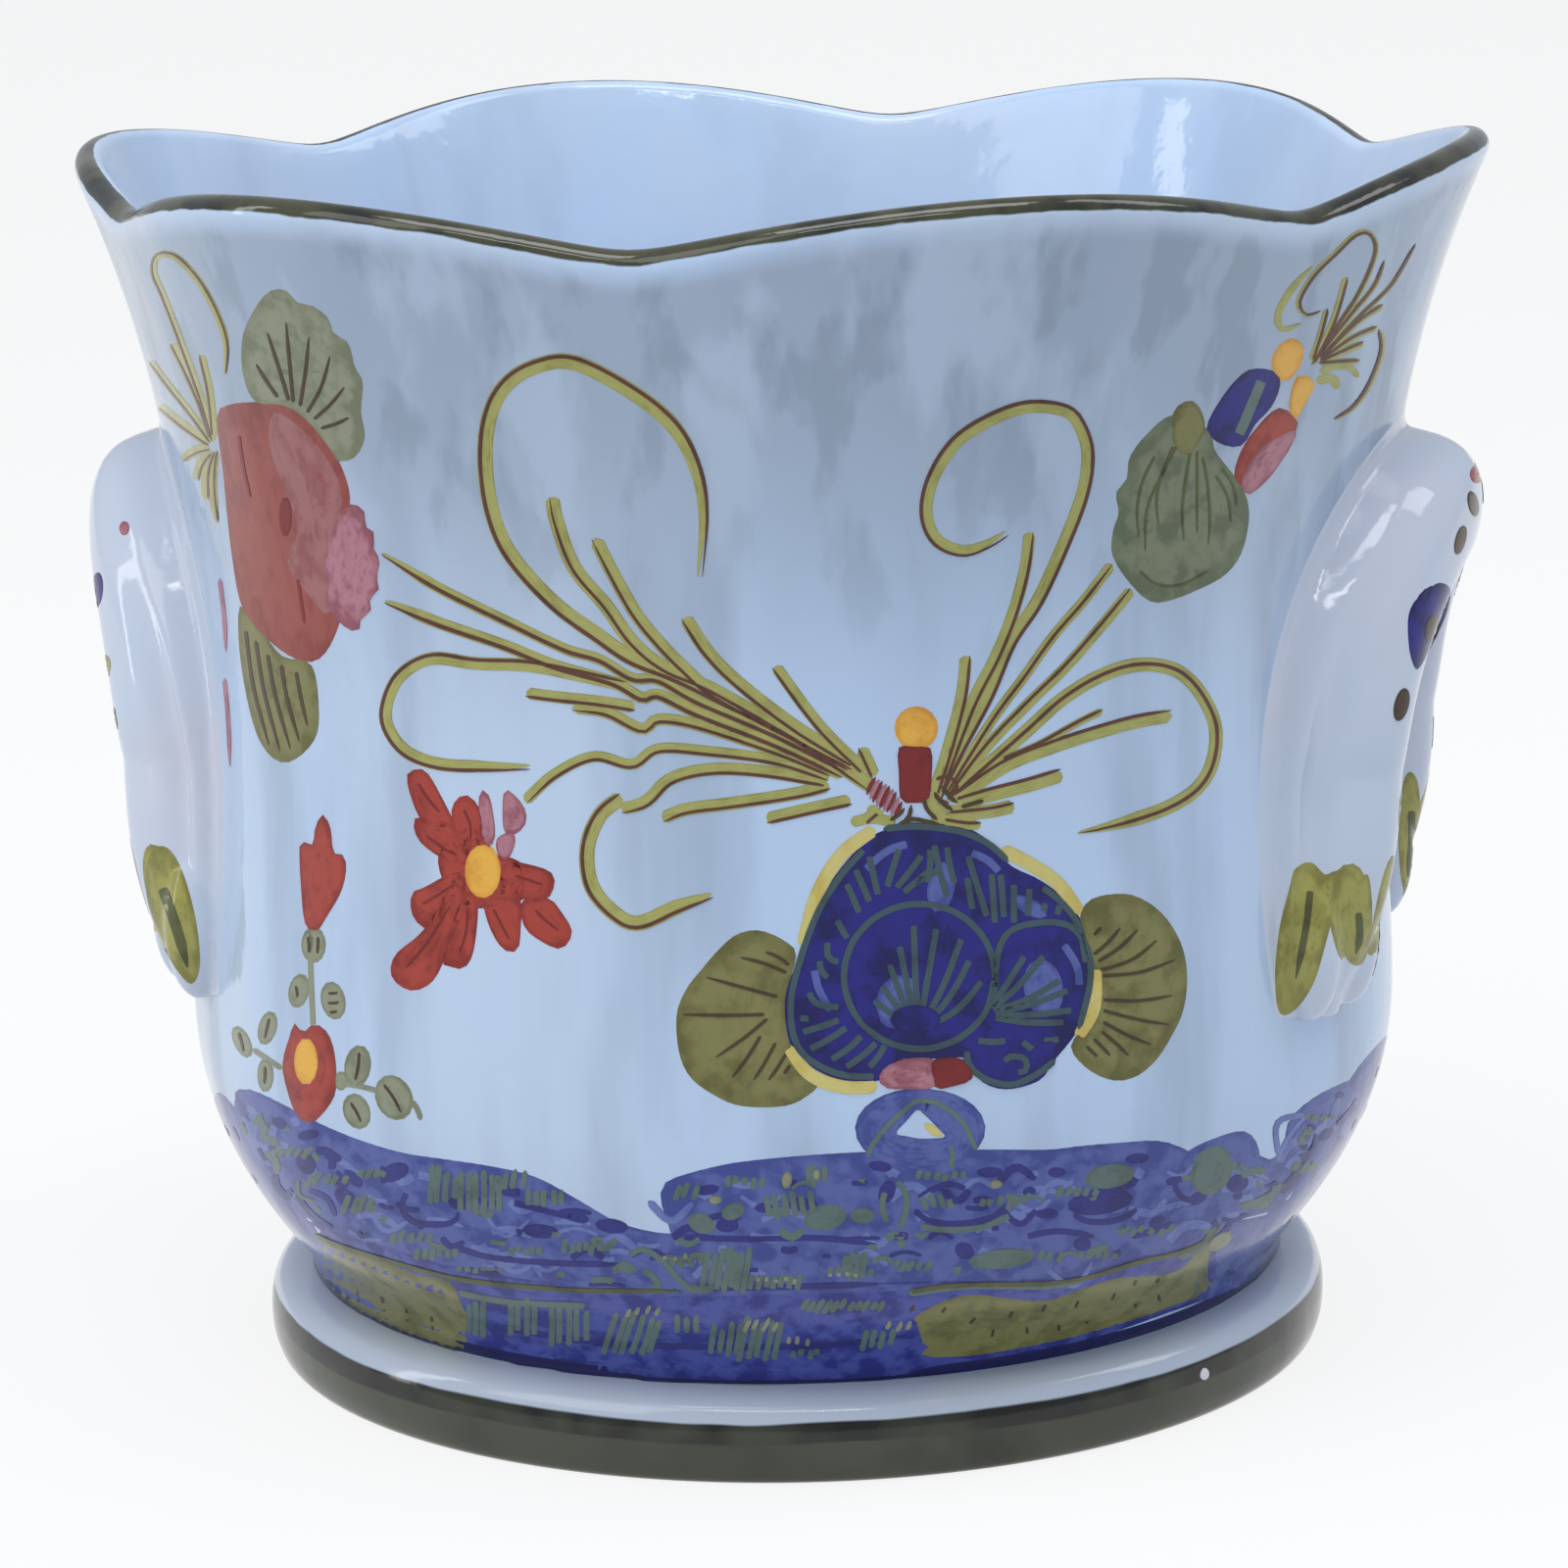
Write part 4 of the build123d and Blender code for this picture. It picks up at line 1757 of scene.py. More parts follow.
# The carnation in the middle with its two leaves, its ring below and its stamen above
CARNATION = (
    Motif("carnation_leaves", Paint.LEAF, (LEFT_LEAF_EDGE, RIGHT_LEAF_EDGE)),
    Motif(
        "carnation_veins", Paint.VEIN,
        strokes=ways(
            "808,987 795,977 778,970 / 806,994 780,983 752,976 / 797,1018 760,1008 717,996 / 784,1035 "
            "740,1036 693,1035 / 786,1037 758,1060 727,1081 / 778,1054 762,1080 745,1102 / 793,1061 780,1085 "
            "767,1105 / 804,1072 793,1090 782,1105 / 808,1083 803,1092 797,1098 / 1113,957 1119,951 1126,943 "
            "/ 1113,976 1130,962 1145,944 / 1117,983 1142,967 1163,946 / 1119,991 1155,979 1183,957 / "
            "1121,996 1163,992 1202,978 / 1122,1020 1162,1021 1200,1015 / 1122,1030 1160,1040 1196,1046 / "
            "1122,1041 1152,1057 1178,1067 / 1121,1050 1140,1066 1154,1080 / 1113,1057 1126,1070 1135,1080 / "
            "1106,1065 1115,1074 1122,1080"
        ),
        width=4.0, tail=0.3, lift=0.0002,
    ),
    Motif(
        "carnation_halo", Paint.HALO,
        strokes=ways(
            "819,968 833,915 858,873 894,845 / 1020,866 1052,882 1080,902 1103,934 / 1117,985 1116,1028 "
            "1098,1060 / 803,1066 826,1096 860,1109 897,1108"
        ),
        width=15.0, lift=0.00016,
    ),
    Motif("carnation_petals", Paint.BLUE, (CARNATION_EDGE,), lift=0.00022),
    Motif(
        "carnation_glow", Paint.WASH,
        ovals=rows("916,1022,22,28,20 960,905,14,26,10 1064,1008,20,30,-10 1050,925,20,8,30"),
        strokes=ways(
            "830,985 836,1010 850,1035 / 880,890 905,868 930,860 / 986,868 1008,878 1022,893 / 1082,960 "
            "1098,985 1101,1010"
        ),
        width=9.0, lift=0.00026,
    ),
    Motif(
        "carnation_lines", Paint.TEAL,
        strokes=(ring(938, 996, 77, 74) + way("1015,996 1008,1030"),) + ways(
            "934,1050 912,1036 888,1018 / 934,1050 916,1028 897,1002 / 934,1050 920,1018 906,980 / 935,1050 "
            "926,1008 917,961 / 936,1050 934,1000 932,940 / 937,1050 946,1000 956,943 / 938,1050 962,1006 "
            "982,954 / 939,1050 968,1018 991,976 / 940,1050 976,1030 1004,998 / 1015,1013 1017,976 1030,950 "
            "1063,941 1093,946 1110,972 1111,1006 1100,1050 / 1008,1031 1026,1005 1047,972 / 1009,1032 "
            "1038,1006 1067,972 / 1010,1033 1048,1019 1085,998 / 1010,1034 1052,1024 1093,1009 / 1011,1036 "
            "1055,1035 1097,1030 / 1011,1038 1050,1043 1089,1043 / 986,1068 989,1087 1008,1102 1034,1106 "
            "1060,1094 1078,1080 / 993,1061 1012,1063 1030,1061 / 1022,1086 1030,1078 1045,1080 1046,1092 "
            "1034,1094 / 878,935 870,915 862,898 / 889,924 880,903 871,883 / 897,917 891,892 886,869 / "
            "904,909 911,885 919,861 / 912,909 928,889 943,869 / 919,913 934,900 949,887 / 867,961 859,948 "
            "852,935 / 967,920 959,890 952,858 / 993,932 989,912 986,891 / 1008,939 997,905 986,869 / "
            "1015,946 1013,917 1011,887 / 1034,946 1034,922 1034,898 / 1048,939 1049,920 1050,902 / 1063,935 "
            "1065,926 1067,917 / 900,846 934,843 978,848 1008,861 1030,880 / 845,957 845,976 860,983 / "
            "823,1009 834,1024 860,1028 / 815,1054 838,1047 860,1039 / 823,1072 846,1060 867,1046 / 845,1083 "
            "865,1070 882,1054 / 860,1091 880,1077 897,1061 / 884,864 858,893 835,930 818,975 808,1015 "
            "808,1048 816,1070 832,1085 862,1097 896,1098 / 1060,903 1084,922 1100,946 1108,986 / 830,1040 "
            "812,1038 / 848,1000 838,990 836,976 / 928,905 946,893 962,888 / 945,905 949,880 948,862 / "
            "975,905 968,880 966,860 / 1024,940 1022,910 1020,888 / 1076,938 1080,926 1080,918 / 905,1062 "
            "896,1078 884,1092 / 1060,1060 1072,1062 1084,1058 / 1040,1060 1052,1070 1064,1074"
        ),
        width=7.5, lift=0.0003,
    ),
    Motif(
        "carnation_heart", Paint.BLUE,
        ovals=rows("934,1040,26,15,0 884,1030,9,24,-30 1062,1072,16,7,-30"),
        lift=0.00034,
    ),
    Motif(
        "carnation_calyx", Paint.PINK,
        ways("897,1098 906,1087 925,1081 949,1080 956,1090 952,1109 925,1111 904,1109"),
        lift=0.0003,
    ),
    Motif(
        "carnation_calyx_shade", Paint.DARK_RED,
        ways("950,1084 965,1080 980,1081 992,1092 989,1102 975,1107 956,1110 952,1098"),
        lift=0.00034,
    ),
    Motif(
        "ring_below", Paint.WASH,
        sheets=(
            (
                ring(939, 1152, 42.5, 67.5, -90) + way("939,1109.5 972.7,1115.2"),
                way(
                    "937,1133 945,1140 953,1148 960,1155 964,1160 952,1161 938,1161 926,1159 915,1157 "
                    "920,1150 926,1144 931,1138 937,1133 945,1140"
                ),
            ),
        ),
        lift=0.0002,
    ),
    Motif(
        "ring_arcs", Paint.SAGE,
        strokes=ways(
            "884,1182 890,1168 904,1150 920,1135 934,1124 952,1124 970,1134 984,1148 997,1176 / 967,1165 "
            "972,1180 968,1194"
        ),
        width=6.0, lift=0.00026,
    ),
    Motif("ring_glint", Paint.HALO, ovals=rows("952,1153,10,4,35"), lift=0.0001),
    Motif("stamen_tip", Paint.YELLOW, ovals=rows("935,743,21,21,0"), lift=0.0002),
    Motif(
        "stamen", Paint.DARK_RED,
        ways("918,764 934,762 949,765 950,790 947,814 933,818 920,815 918,790"),
        strokes=ways(
            "884,812 888,802 894,792 / 890,820 895,808 901,796 / 897,826 903,813 908,801 / 904,830 910,818 "
            "915,807 / 912,834 917,825 921,817"
        ),
        width=4.5, lift=0.00034,
    ),
    Motif(
        "knot_blush", Paint.PINK,
        strokes=ways(
            "887,817 892,806 898,794 / 894,824 899,811 905,799 / 901,829 907,816 912,804 / 908,833 914,822 "
            "918,812"
        ),
        width=4.0, lift=0.0003,
    ),
    Motif(
        "knot_base", Paint.SPRAY,
        strokes=ways(
            "866,840 890,835 916,840 / 948,838 972,833 998,837 / 884,822 902,836 / 952,826 976,827 1002,828 "
            "/ 946,812 954,826 966,836"
        ),
        width=12.0, lift=0.00009,
    ),
    Motif(
        "knot_lines", Paint.VEIN,
        strokes=ways(
            "914,843 930,836 944,838 962,842 / 930,820 928,832 920,842 / 942,812 946,826 958,838 / 952,806 "
            "960,818 974,828 / 960,800 968,812 978,820 / 906,838 916,832 924,824 / 978,824 992,820 1006,816"
        ),
        width=4.5, tail=0.2, lift=0.00032,
    ),
    Motif(
        "stamen_curls", Paint.LINE,
        strokes=ways("952,798 962,792 974,796 976,806 966,810 958,804 / 952,808 958,816 970,820"),
        width=4.0, lift=0.0002,
    ),
)

# The red and pink flower at the far left with its leaves
LEFT_FLOWER = (
    Motif(
        "left_flower_leaf", Paint.PALE_LEAF,
        ways(
            "262,411 249,385 247,350 255,325 272,300 290,296 305,310 318,312 335,325 340,340 355,350 362,375 "
            "370,390 368,420 372,445 362,466 340,468 320,436 290,414"
        ),
    ),
    Motif(
        "left_flower_stem_leaf", Paint.LEAF,
        ways("245,619 262,636 287,669 317,678 325,720 321,754 296,777 275,770 258,737 245,669"),
    ),
    Motif(
        "left_root_blush", Paint.PINK,
        strokes=ways("224,588 229,630 231,668 / 229,690 233,735 235,785"),
        width=5.0, tail=0.3,
    ),
    Motif(
        "left_flower_veins", Paint.VEIN,
        strokes=ways(
            "296,412 285,375 272,335 / 300,414 296,370 292,325 / 306,418 312,380 316,340 / 312,424 328,395 "
            "338,360 / 318,430 338,412 354,392 / 324,438 344,432 360,424 / 286,408 272,388 260,368 / 251,640 "
            "259,700 276,764 / 261,650 270,705 287,770 / 273,664 282,712 298,768 / 287,675 294,715 307,760 / "
            "302,682 308,714 315,744"
        ),
        width=4.0, tail=0.3, lift=0.0002,
    ),
    Motif(
        "left_flower_petals", Paint.DULL_RED,
        ways(
            "222,425 237,413 270,411 296,415 321,436 346,472 357,509 350,539 350,598 346,636 329,669 308,674 "
            "279,657 249,623 237,568 228,484"
        ),
        lift=0.00016,
    ),
    Motif(
        "left_flower_wash", Paint.ROSE,
        ways(
            "280,420 312,440 342,480 350,512 344,545 343,600 336,628 318,610 294,575 304,540 292,500 276,455"
        ),
        lift=0.00021,
    ),
    Motif(
        "left_flower_frill", Paint.PINK,
        ways(
            "350,520 362,516 372,524 372,537 381,544 381,560 387,572 384,588 386,602 377,610 378,624 368,630 "
            "366,642 354,640 338,622 332,590 336,552"
        ),
        lift=0.00026,
    ),
    Motif(
        "left_flower_shade", Paint.DARK_RED,
        ovals=rows("292,527,6,21,0"),
        strokes=ways("304,586 308,612 312,640 / 244,440 250,480 258,512"),
        width=3.5, tail=0.3, lift=0.00026,
    ),
)

# The red flower with five petals between the left spray and the leaf
RED_FLOWER = (
    Motif(
        "red_flower_petals", Paint.RED,
        ways(
            "448,872 466,846 490,848 506,872 530,880 534,916 500,926 470,922 454,902 / 416,791 424,786 "
            "435,788 449,811 463,842 447,844 431,838 419,811 / 424,836 427,856 447,873 472,884 475,864 "
            "461,842 443,836 / 461,828 469,814 480,814 491,831 491,861 477,875 466,852 / 469,889 433,906 "
            "421,912 421,932 433,946 449,943 475,912 / 469,892 433,948 404,974 400,996 418,1010 438,1004 "
            "452,982 475,920 / 452,976 461,986 475,986 484,965 487,915 472,915 / 494,917 500,946 514,968 "
            "528,968 531,943 531,920 511,915 / 534,920 536,946 556,962 573,967 583,951 573,932 559,917 / "
            "514,881 545,884 563,892 564,906 556,917 531,917 511,912"
        ),
        lift=0.00012,
    ),
    Motif(
        "red_flower_blush", Paint.PINK,
        ways(
            "489,814 494,807 501,819 505,853 497,864 490,840 / 514,811 520,808 535,825 535,842 522,852 "
            "514,845 / 508,856 522,850 525,861 517,877 508,870"
        ),
        lift=0.00012,
    ),
    Motif(
        "red_flower_lines", Paint.DARK_RED,
        strokes=ways(
            "425,796 438,816 452,832 / 432,850 448,862 466,874 / 472,822 480,842 480,862 / 428,924 446,914 "
            "466,900 / 412,990 436,962 462,920 / 468,976 476,950 478,922 / 502,924 512,944 522,962 / 544,926 "
            "558,940 574,952 / 522,892 540,898 558,904"
        ),
        width=2.6, tail=0.3, lift=0.0002,
    ),
    Motif("red_flower_centre", Paint.YELLOW, ovals=rows("493,889,18,27,0"), lift=0.00022),
)

# The bud plant at the lower left
BUD = (
    Motif(
        "bud_stems", Paint.PALE_LEAF,
        strokes=ways(
            "319,945 317,976 319,1033 320,1050 / 256,1069 272,1080 290,1092 / 343,1105 365,1108 388,1114 / "
            "418,1121 426,1132 430,1145"
        ),
        ovals=rows(
            "320,964,12,18,0 305,1011,10,17,12 340,1021,12,19,-12 247,1063,8,17,-25 273,1049,9,17,15 "
            "271,1097,8,17,0 365,1088,13,21,8 348,1103,6,9,0 364,1134,13,18,-20 402,1120,18,23,-25"
        ),
        width=6.0,
    ),
    Motif(
        "bud_veins", Paint.VEIN,
        strokes=ways(
            "367,1070 366,1088 362,1106 / 356,1122 364,1134 370,1148 / 390,1104 402,1120 411,1138 / 243,1050 "
            "247,1063 250,1077 / 276,1036 273,1049 270,1063 / 271,1084 271,1097 270,1110 / 314,952 316,964 "
            "315,976 / 325,952 325,964 324,977 / 300,1002 304,1011 303,1022 / 332,1012 341,1014 348,1010 / "
            "331,1022 341,1024 350,1020 / 334,1032 341,1033 347,1030"
        ),
        width=3.0, tail=0.3, lift=0.0002,
    ),
    Motif(
        "bud_petals", Paint.RED,
        ways(
            "306,864 312,860 320,862 322,845 329,832 337,845 340,870 348,871 353,884 348,909 332,937 323,950 "
            "312,943 308,912 / 301,1045 309,1055 317,1047 329,1049 339,1066 343,1097 340,1120 323,1142 "
            "312,1145 301,1134 291,1103 289,1083 295,1061"
        ),
        lift=0.00016,
    ),
    Motif("bud_heart", Paint.YELLOW, ovals=rows("313,1083,12,24,0"), lift=0.00022),
)

# The flower at the upper right
UPPER_FLOWER = (
    Motif(
        "upper_flower_wash", Paint.FLOWER,
        ways(
            "1197,424 1170,444 1153,467 1150,489 1139,503 1142,523 1136,542 1136,568 1156,598 1176,614 "
            "1198,611 1223,601 1249,587 1266,565 1274,531 1271,506 1257,483 1240,461 1232,438"
        ),
    ),
    Motif(
        "upper_flower_lines", Paint.DARK_LEAF,
        strokes=ways(
            "1206,446 1190,474 1180,506 1182,540 / 1216,450 1210,486 1206,520 1208,556 / 1226,462 1232,496 "
            "1234,530 1232,560 / 1238,482 1252,506 1256,536 / 1180,462 1166,490 1160,520 1162,552 / 1160,580 "
            "1180,596 1206,596 1236,580 / 1244,474 1258,496 1262,520 / 1221,456 1221,500 1221,548 / 1198,452 "
            "1184,486 1170,520 1168,566"
        ),
        width=3.0, tail=0.3, lift=0.0002,
    ),
    Motif(
        "upper_leaf", Paint.LEAF,
        ways("1198,422 1212,410 1223,416 1229,436 1222,452 1212,464 1198,453"),
        lift=0.00022,
    ),
    Motif(
        "upper_blue_petal", Paint.BLUE,
        ways("1232,438 1246,408 1268,382 1285,377 1303,382 1305,396 1296,416 1280,433 1268,453 1249,453"),
        lift=0.00022,
    ),
    Motif(
        "upper_blue_line", Paint.SAGE,
        strokes=ways("1288,384 1278,408 1268,432 1261,447"),
        width=12.0, tail=0.1, lift=0.00028,
    ),
    Motif(
        "upper_red_petal", Paint.RED,
        ways("1305,417 1323,430 1318,446 1300,462 1280,486 1267,496 1260,483 1268,458 1285,434"),
        lift=0.00018,
    ),
    Motif(
        "upper_pink_petal", Paint.PINK,
        ways("1322,438 1316,456 1308,469 1292,490 1274,504 1266,492 1276,470 1291,453"),
        lift=0.00022,
    ),
    Motif(
        "upper_stamens", Paint.YELLOW,
        ways(
            "1319,346 1330,357 1322,380 1308,388 1298,371 1305,354 / 1324,385 1341,391 1330,413 1322,427 "
            "1316,413"
        ),
        lift=0.00022,
    ),
)

# The rocks round the belly and the band on the neck below them, the washes first
ROCK_WASH = Motif(
    "rock_wash", Paint.WASH,
    ways("1205,1225 1198,1200 1212,1176 1240,1162 1269,1155 1283,1170 1284,1198 1270,1222 1240,1238"),
    sheets=(
        ways(
            "237,1137 262,1187 298,1240 330,1272 396,1293 455,1308 547,1320 620,1323 700,1324 / 234,1113 "
            "254,1110 286,1124 322,1143 364,1161 410,1175 456,1182 501,1189 547,1200 593,1225 630,1246 "
            "667,1256 694,1258"
        ),
        ways(
            "680,1324 792,1323 920,1319 975,1318 1067,1316 1113,1308 1159,1294 1205,1283 1240,1268 1258,1246 "
            "/ 692,1260 676,1232 674,1214 685,1202 731,1189 777,1182 869,1175 994,1172 1067,1172 1104,1168 "
            "1141,1165 1182,1163 1210,1172 1240,1190 1262,1212"
        ),
        ways(
            "1238,1252 1256,1247 1275,1243 1301,1235 1315,1222 1334,1198 1357,1166 1378,1142 / 1240,1215 "
            "1262,1205 1283,1178 1297,1182 1313,1170 1311,1152 1320,1136 1343,1117 1382,1098"
        ),
        ways("1233,1330 1262,1319 1292,1304 / 1238,1248 1270,1243 1303,1236"),
    ),
    lift=0.00012,
)

ROCKS = (
    ROCK_WASH,
    Motif(
        "neck_wash", Paint.HILL,
        sheets=(
            ways(
                "318,1315 354,1340 410,1370 478,1389 540,1401 657,1412 780,1414 900,1411 948,1401 1030,1387 "
                "1113,1368 1200,1338 1246,1322 / 318,1242 350,1254 396,1269 452,1287 547,1304 620,1310 "
                "700,1311 792,1309 920,1305 1067,1302 1113,1294 1159,1280 1205,1269 1246,1246"
            ),
        ),
        lift=0.0001,
    ),
    Motif(
        "neck_panels", Paint.LEAF,
        sheets=(
            ways(
                "322,1314 354,1336 387,1357 410,1367 437,1376 460,1380 484,1382 / 320,1262 350,1271 396,1286 "
                "428,1299 460,1306 472,1330 482,1350"
            ),
            ways(
                "943,1391 985,1388 1021,1383 1067,1374 1113,1364 1160,1349 1200,1334 1232,1321 1234,1290 "
                "1242,1250 / 925,1346 957,1328 989,1319 1031,1323 1067,1325 1104,1313 1141,1302 1196,1297 "
                "1220,1274 1238,1246"
            ),
        ),
        lift=0.00018,
    ),
    Motif(
        "rock_dabs", Paint.DAB,
        ovals=rows(
            "313,1187,9,12,-35 315,1158,11,5,-10 353,1222,13,8,40 361,1202,12,6,40 403,1196,15,9,-20 "
            "552,1256,19,7,5 624,1251,17,7,8 742,1250,12,7,0 1122,1226,34,13,-8 1140,1208,22,8,-12 "
            "984,1276,10,8,30 1104,1269,9,7,0 1262,1207,12,9,-20 1366,1117,5,3,-20 1380,1131,4,3,-20 "
            "1352,1157,9,5,-35 1368,1162,4,3,0 1338,1150,5,3,20 1330,1170,4,4,0 1279,1290,5,4,0 "
            "1292,1273,5,4,0 1255,1298,5,3,-20 780,1232,10,5,0 905,1216,8,12,20 1078,1196,9,5,0 "
            "1050,1216,7,5,-20 1180,1246,9,5,-30 590,1242,12,5,15 470,1226,12,8,0 722,1214,12,5,-10 "
            "820,1228,14,6,5 898,1190,12,5,10 1010,1196,14,5,0 1160,1182,12,5,-5 1222,1222,10,6,-30 "
            "340,1180,10,5,20 286,1146,8,5,30 1068,1238,12,5,0 508,1208,12,5,15"
        ),
        strokes=ways(
            "418,1214 411,1226 414,1240 428,1248 452,1249 466,1244 468,1232 / 388,1210 396,1200 410,1197 / "
            "456,1270 500,1282 560,1288 640,1290 / 694,1262 760,1264 836,1263 900,1270 / 700,1314 790,1313 "
            "900,1310 / 500,1352 600,1368 720,1374 840,1372 930,1362 / 560,1388 660,1396 780,1398 900,1392 / "
            "930,1232 950,1246 985,1248 1015,1240 1030,1224 / 945,1216 968,1208 990,1214 / 1092,1236 "
            "1110,1246 1142,1244 1164,1230 / 1200,1196 1199,1212 1210,1224 1226,1224 / 1044,1262 1080,1256 "
            "1120,1262 / 1150,1262 1176,1256 1200,1246 / 520,1226 560,1236 600,1246 / 300,1216 320,1240 "
            "344,1256"
        ),
        width=7.0, tail=0.15, lift=0.00018,
    ),
    Motif(
        "rock_hatching", Paint.SAGE,
        ovals=rows(
            "842,1242,22,13,-8 880,1240,12,8,0 716,1248,14,10,20 1236,1194,20,26,25 748,1236,12,8,-20 "
            "1132,1200,26,12,-10 1022,1284,34,10,-6"
        ),
        strokes=ways(
            "914,1202 924,1218 924,1238 916,1256 / 904,1212 900,1230 906,1250 / 640,1282 656,1274 676,1286 "
            "692,1304 712,1320 / 652,1296 664,1300 676,1314 / 936,1250 960,1254 1000,1252 1034,1238 / "
            "1240,1252 1222,1274 1200,1284 / 925,1320 985,1312 1067,1312 1110,1304 / 466,1318 520,1328 "
            "600,1332 / 1262,1232 1290,1222 1310,1206"
        ),
        hatches=rows(
            "460,1210,6,8,42,4 366,1228,4,8,26,20 446,1278,6,8,18,10 594,1273,6,7,20,8 536,1276,5,7,14,0 "
            "741,1296,7,7,52,10 790,1308,7,8,24,12 868,1296,6,8,14,20 860,1332,11,8,20,35 533,1345,4,8,48,0 "
            "580,1352,5,9,50,0 646,1362,6,9,50,18 833,1198,4,6,26,0 872,1290,4,7,34,8 776,1368,5,9,56,12 "
            "822,1381,4,8,16,14 956,1226,4,9,24,-20 1100,1216,5,9,20,30 1170,1255,6,10,16,40 "
            "700,1286,4,9,22,-20 1236,1310,4,9,10,20 1346,1140,4,9,12,40 1330,1190,3,9,22,35 "
            "556,1222,5,9,26,0 380,1196,4,8,18,30 930,1290,5,8,20,30 490,1218,6,8,50,0 520,1206,4,9,26,8 "
            "700,1216,3,9,24,20 760,1206,5,9,18,10 806,1230,6,9,34,-10 960,1200,6,9,14,20 "
            "1056,1282,6,10,20,25 1120,1280,5,9,14,30 296,1176,5,9,20,40 334,1204,5,9,24,30 "
            "420,1262,5,9,20,20 490,1296,6,8,10,0 740,1366,4,9,40,8 700,1352,3,10,30,0 896,1366,4,9,30,14 "
            "486,1346,3,8,44,0 1020,1226,5,9,20,20 1250,1190,5,8,20,30"
        ),
        width=7.0, lift=0.00023,
    ),
    Motif(
        "rock_lichen", Paint.PALE_LEAF,
        ovals=rows("803,1204,5,8,8 833,1198,3,5,0 730,1224,6,4,0 1016,1208,6,4,0 1244,1266,14,7,-35"),
        hatches=rows(
            "792,1306,5,9,9,10 690,1282,3,10,10,0 776,1352,4,10,22,30 656,1338,4,10,14,25 "
            "814,1368,3,10,12,10 860,1300,4,9,8,0 916,1352,3,10,16,30"
        ),
        width=5.0, lift=0.00028,
    ),
    Motif(
        "crease_line", Paint.DARK_LEAF,
        strokes=ways(
            "318,1258 345,1270 396,1286 455,1302 501,1309 547,1313 593,1316 700,1317 / 925,1318 975,1311 "
            "1067,1309 1113,1302 1159,1288 1205,1277 1233,1263 1248,1244"
        ),
        width=5.0, tail=0.1, lift=0.00024,
    ),
    Motif(
        "panel_ticks", Paint.VEIN,
        strokes=ways(
            "934,1330 931,1335 927,1340 / 967,1331 963,1336 959,1341 / 998,1341 992,1347 986,1352 / "
            "1035,1334 1031,1341 1027,1347 / 1069,1327 1065,1334 1061,1341 / 1102,1323 1098,1331 1095,1338 / "
            "1139,1315 1136,1322 1132,1329 / 1161,1303 1158,1308 1155,1314 / 1184,1301 1181,1306 1178,1311 / "
            "974,1365 973,1372 972,1380 / 1015,1352 1012,1362 1010,1373 / 1047,1349 1048,1360 1050,1372 / "
            "1080,1346 1080,1358 1082,1369 / 1107,1343 1110,1355 1113,1366 / 1131,1340 1132,1348 1134,1356 / "
            "1158,1325 1158,1333 1159,1341 / 1182,1317 1182,1324 1183,1331 / 362,1310 366,1322 368,1334 / "
            "388,1318 392,1330 394,1342 / 414,1330 416,1340 417,1352 / 440,1338 442,1350 443,1362"
        ),
        width=3.0, tail=0.3, lift=0.00024,
    ),
)

# The line on the neck, once round, in millimetres round the belly from the front and up
NECK_LINE = Motif(
    "neck_line", Paint.DEEP_LINE,
    strokes=ways("-346.8,16.9 -173.4,16.9 0,16.9 173.4,16.9 346.8,16.9"),
    width=2.2, lift=0.0002,
)

# The rocks beyond the photograph's edges, measured in the same way
WALL_ENDS = (
    Motif(
        "far_rocks", Paint.WASH,
        sheets=(
            ways("134,30 160,31 178,30 196,30 205,31 / 136,50 148,57 160,59 172,58 184,54 194,46 204,38"),
            ways("125,16.6 160,16.6 200,16.6 262,16.6 / 127,36 160,37 200,36 262,37"),
            ways("198,31 215,29 232,27 262,27 / 202,38 210,46 222,52 236,55 258,50"),
        ),
        lift=0.00008,
    ),
    Motif(
        "far_dabs", Paint.DAB,
        ovals=rows(
            "152,50,1.6,1.0,20 160,44,1.8,1.1,-20 168,52,1.4,1.0,0 174,43,1.8,1.0,30 182,47,1.3,0.9,0 "
            "150,28,1.6,0.9,0 164,25,1.8,1.0,20 188,38,1.9,1.1,-20 196,26,1.6,0.9,10 180,24,1.7,0.9,0 "
            "210,39,1.6,1.0,30 216,27,1.7,0.9,-15 222,45,1.9,1.1,0 232,38,1.5,0.9,20 236,48,1.8,1.0,-25"
        ),
        lift=0.00014,
    ),
)

# Leaf lobes and blue flowers on a handle's legs, in millimetres round the wall from its middle and up
LOBES = Motif(
    "lobe_leaves", Paint.HANDLE_LEAF,
    ovals=rows("43.5,91,3.8,8.5,0 -43.5,91,3.8,8.5,0 33.5,90,3.8,9.0,0 -33.5,90,3.8,9.0,0"),
    lift=0.00007,
)
LEG_FLOWERS = Motif(
    "leg_flowers", Paint.BLUE,
    ovals=rows("25,141,5.5,6.0,0 -25,141,5.5,6.0,0"),
    lift=0.00007,
)

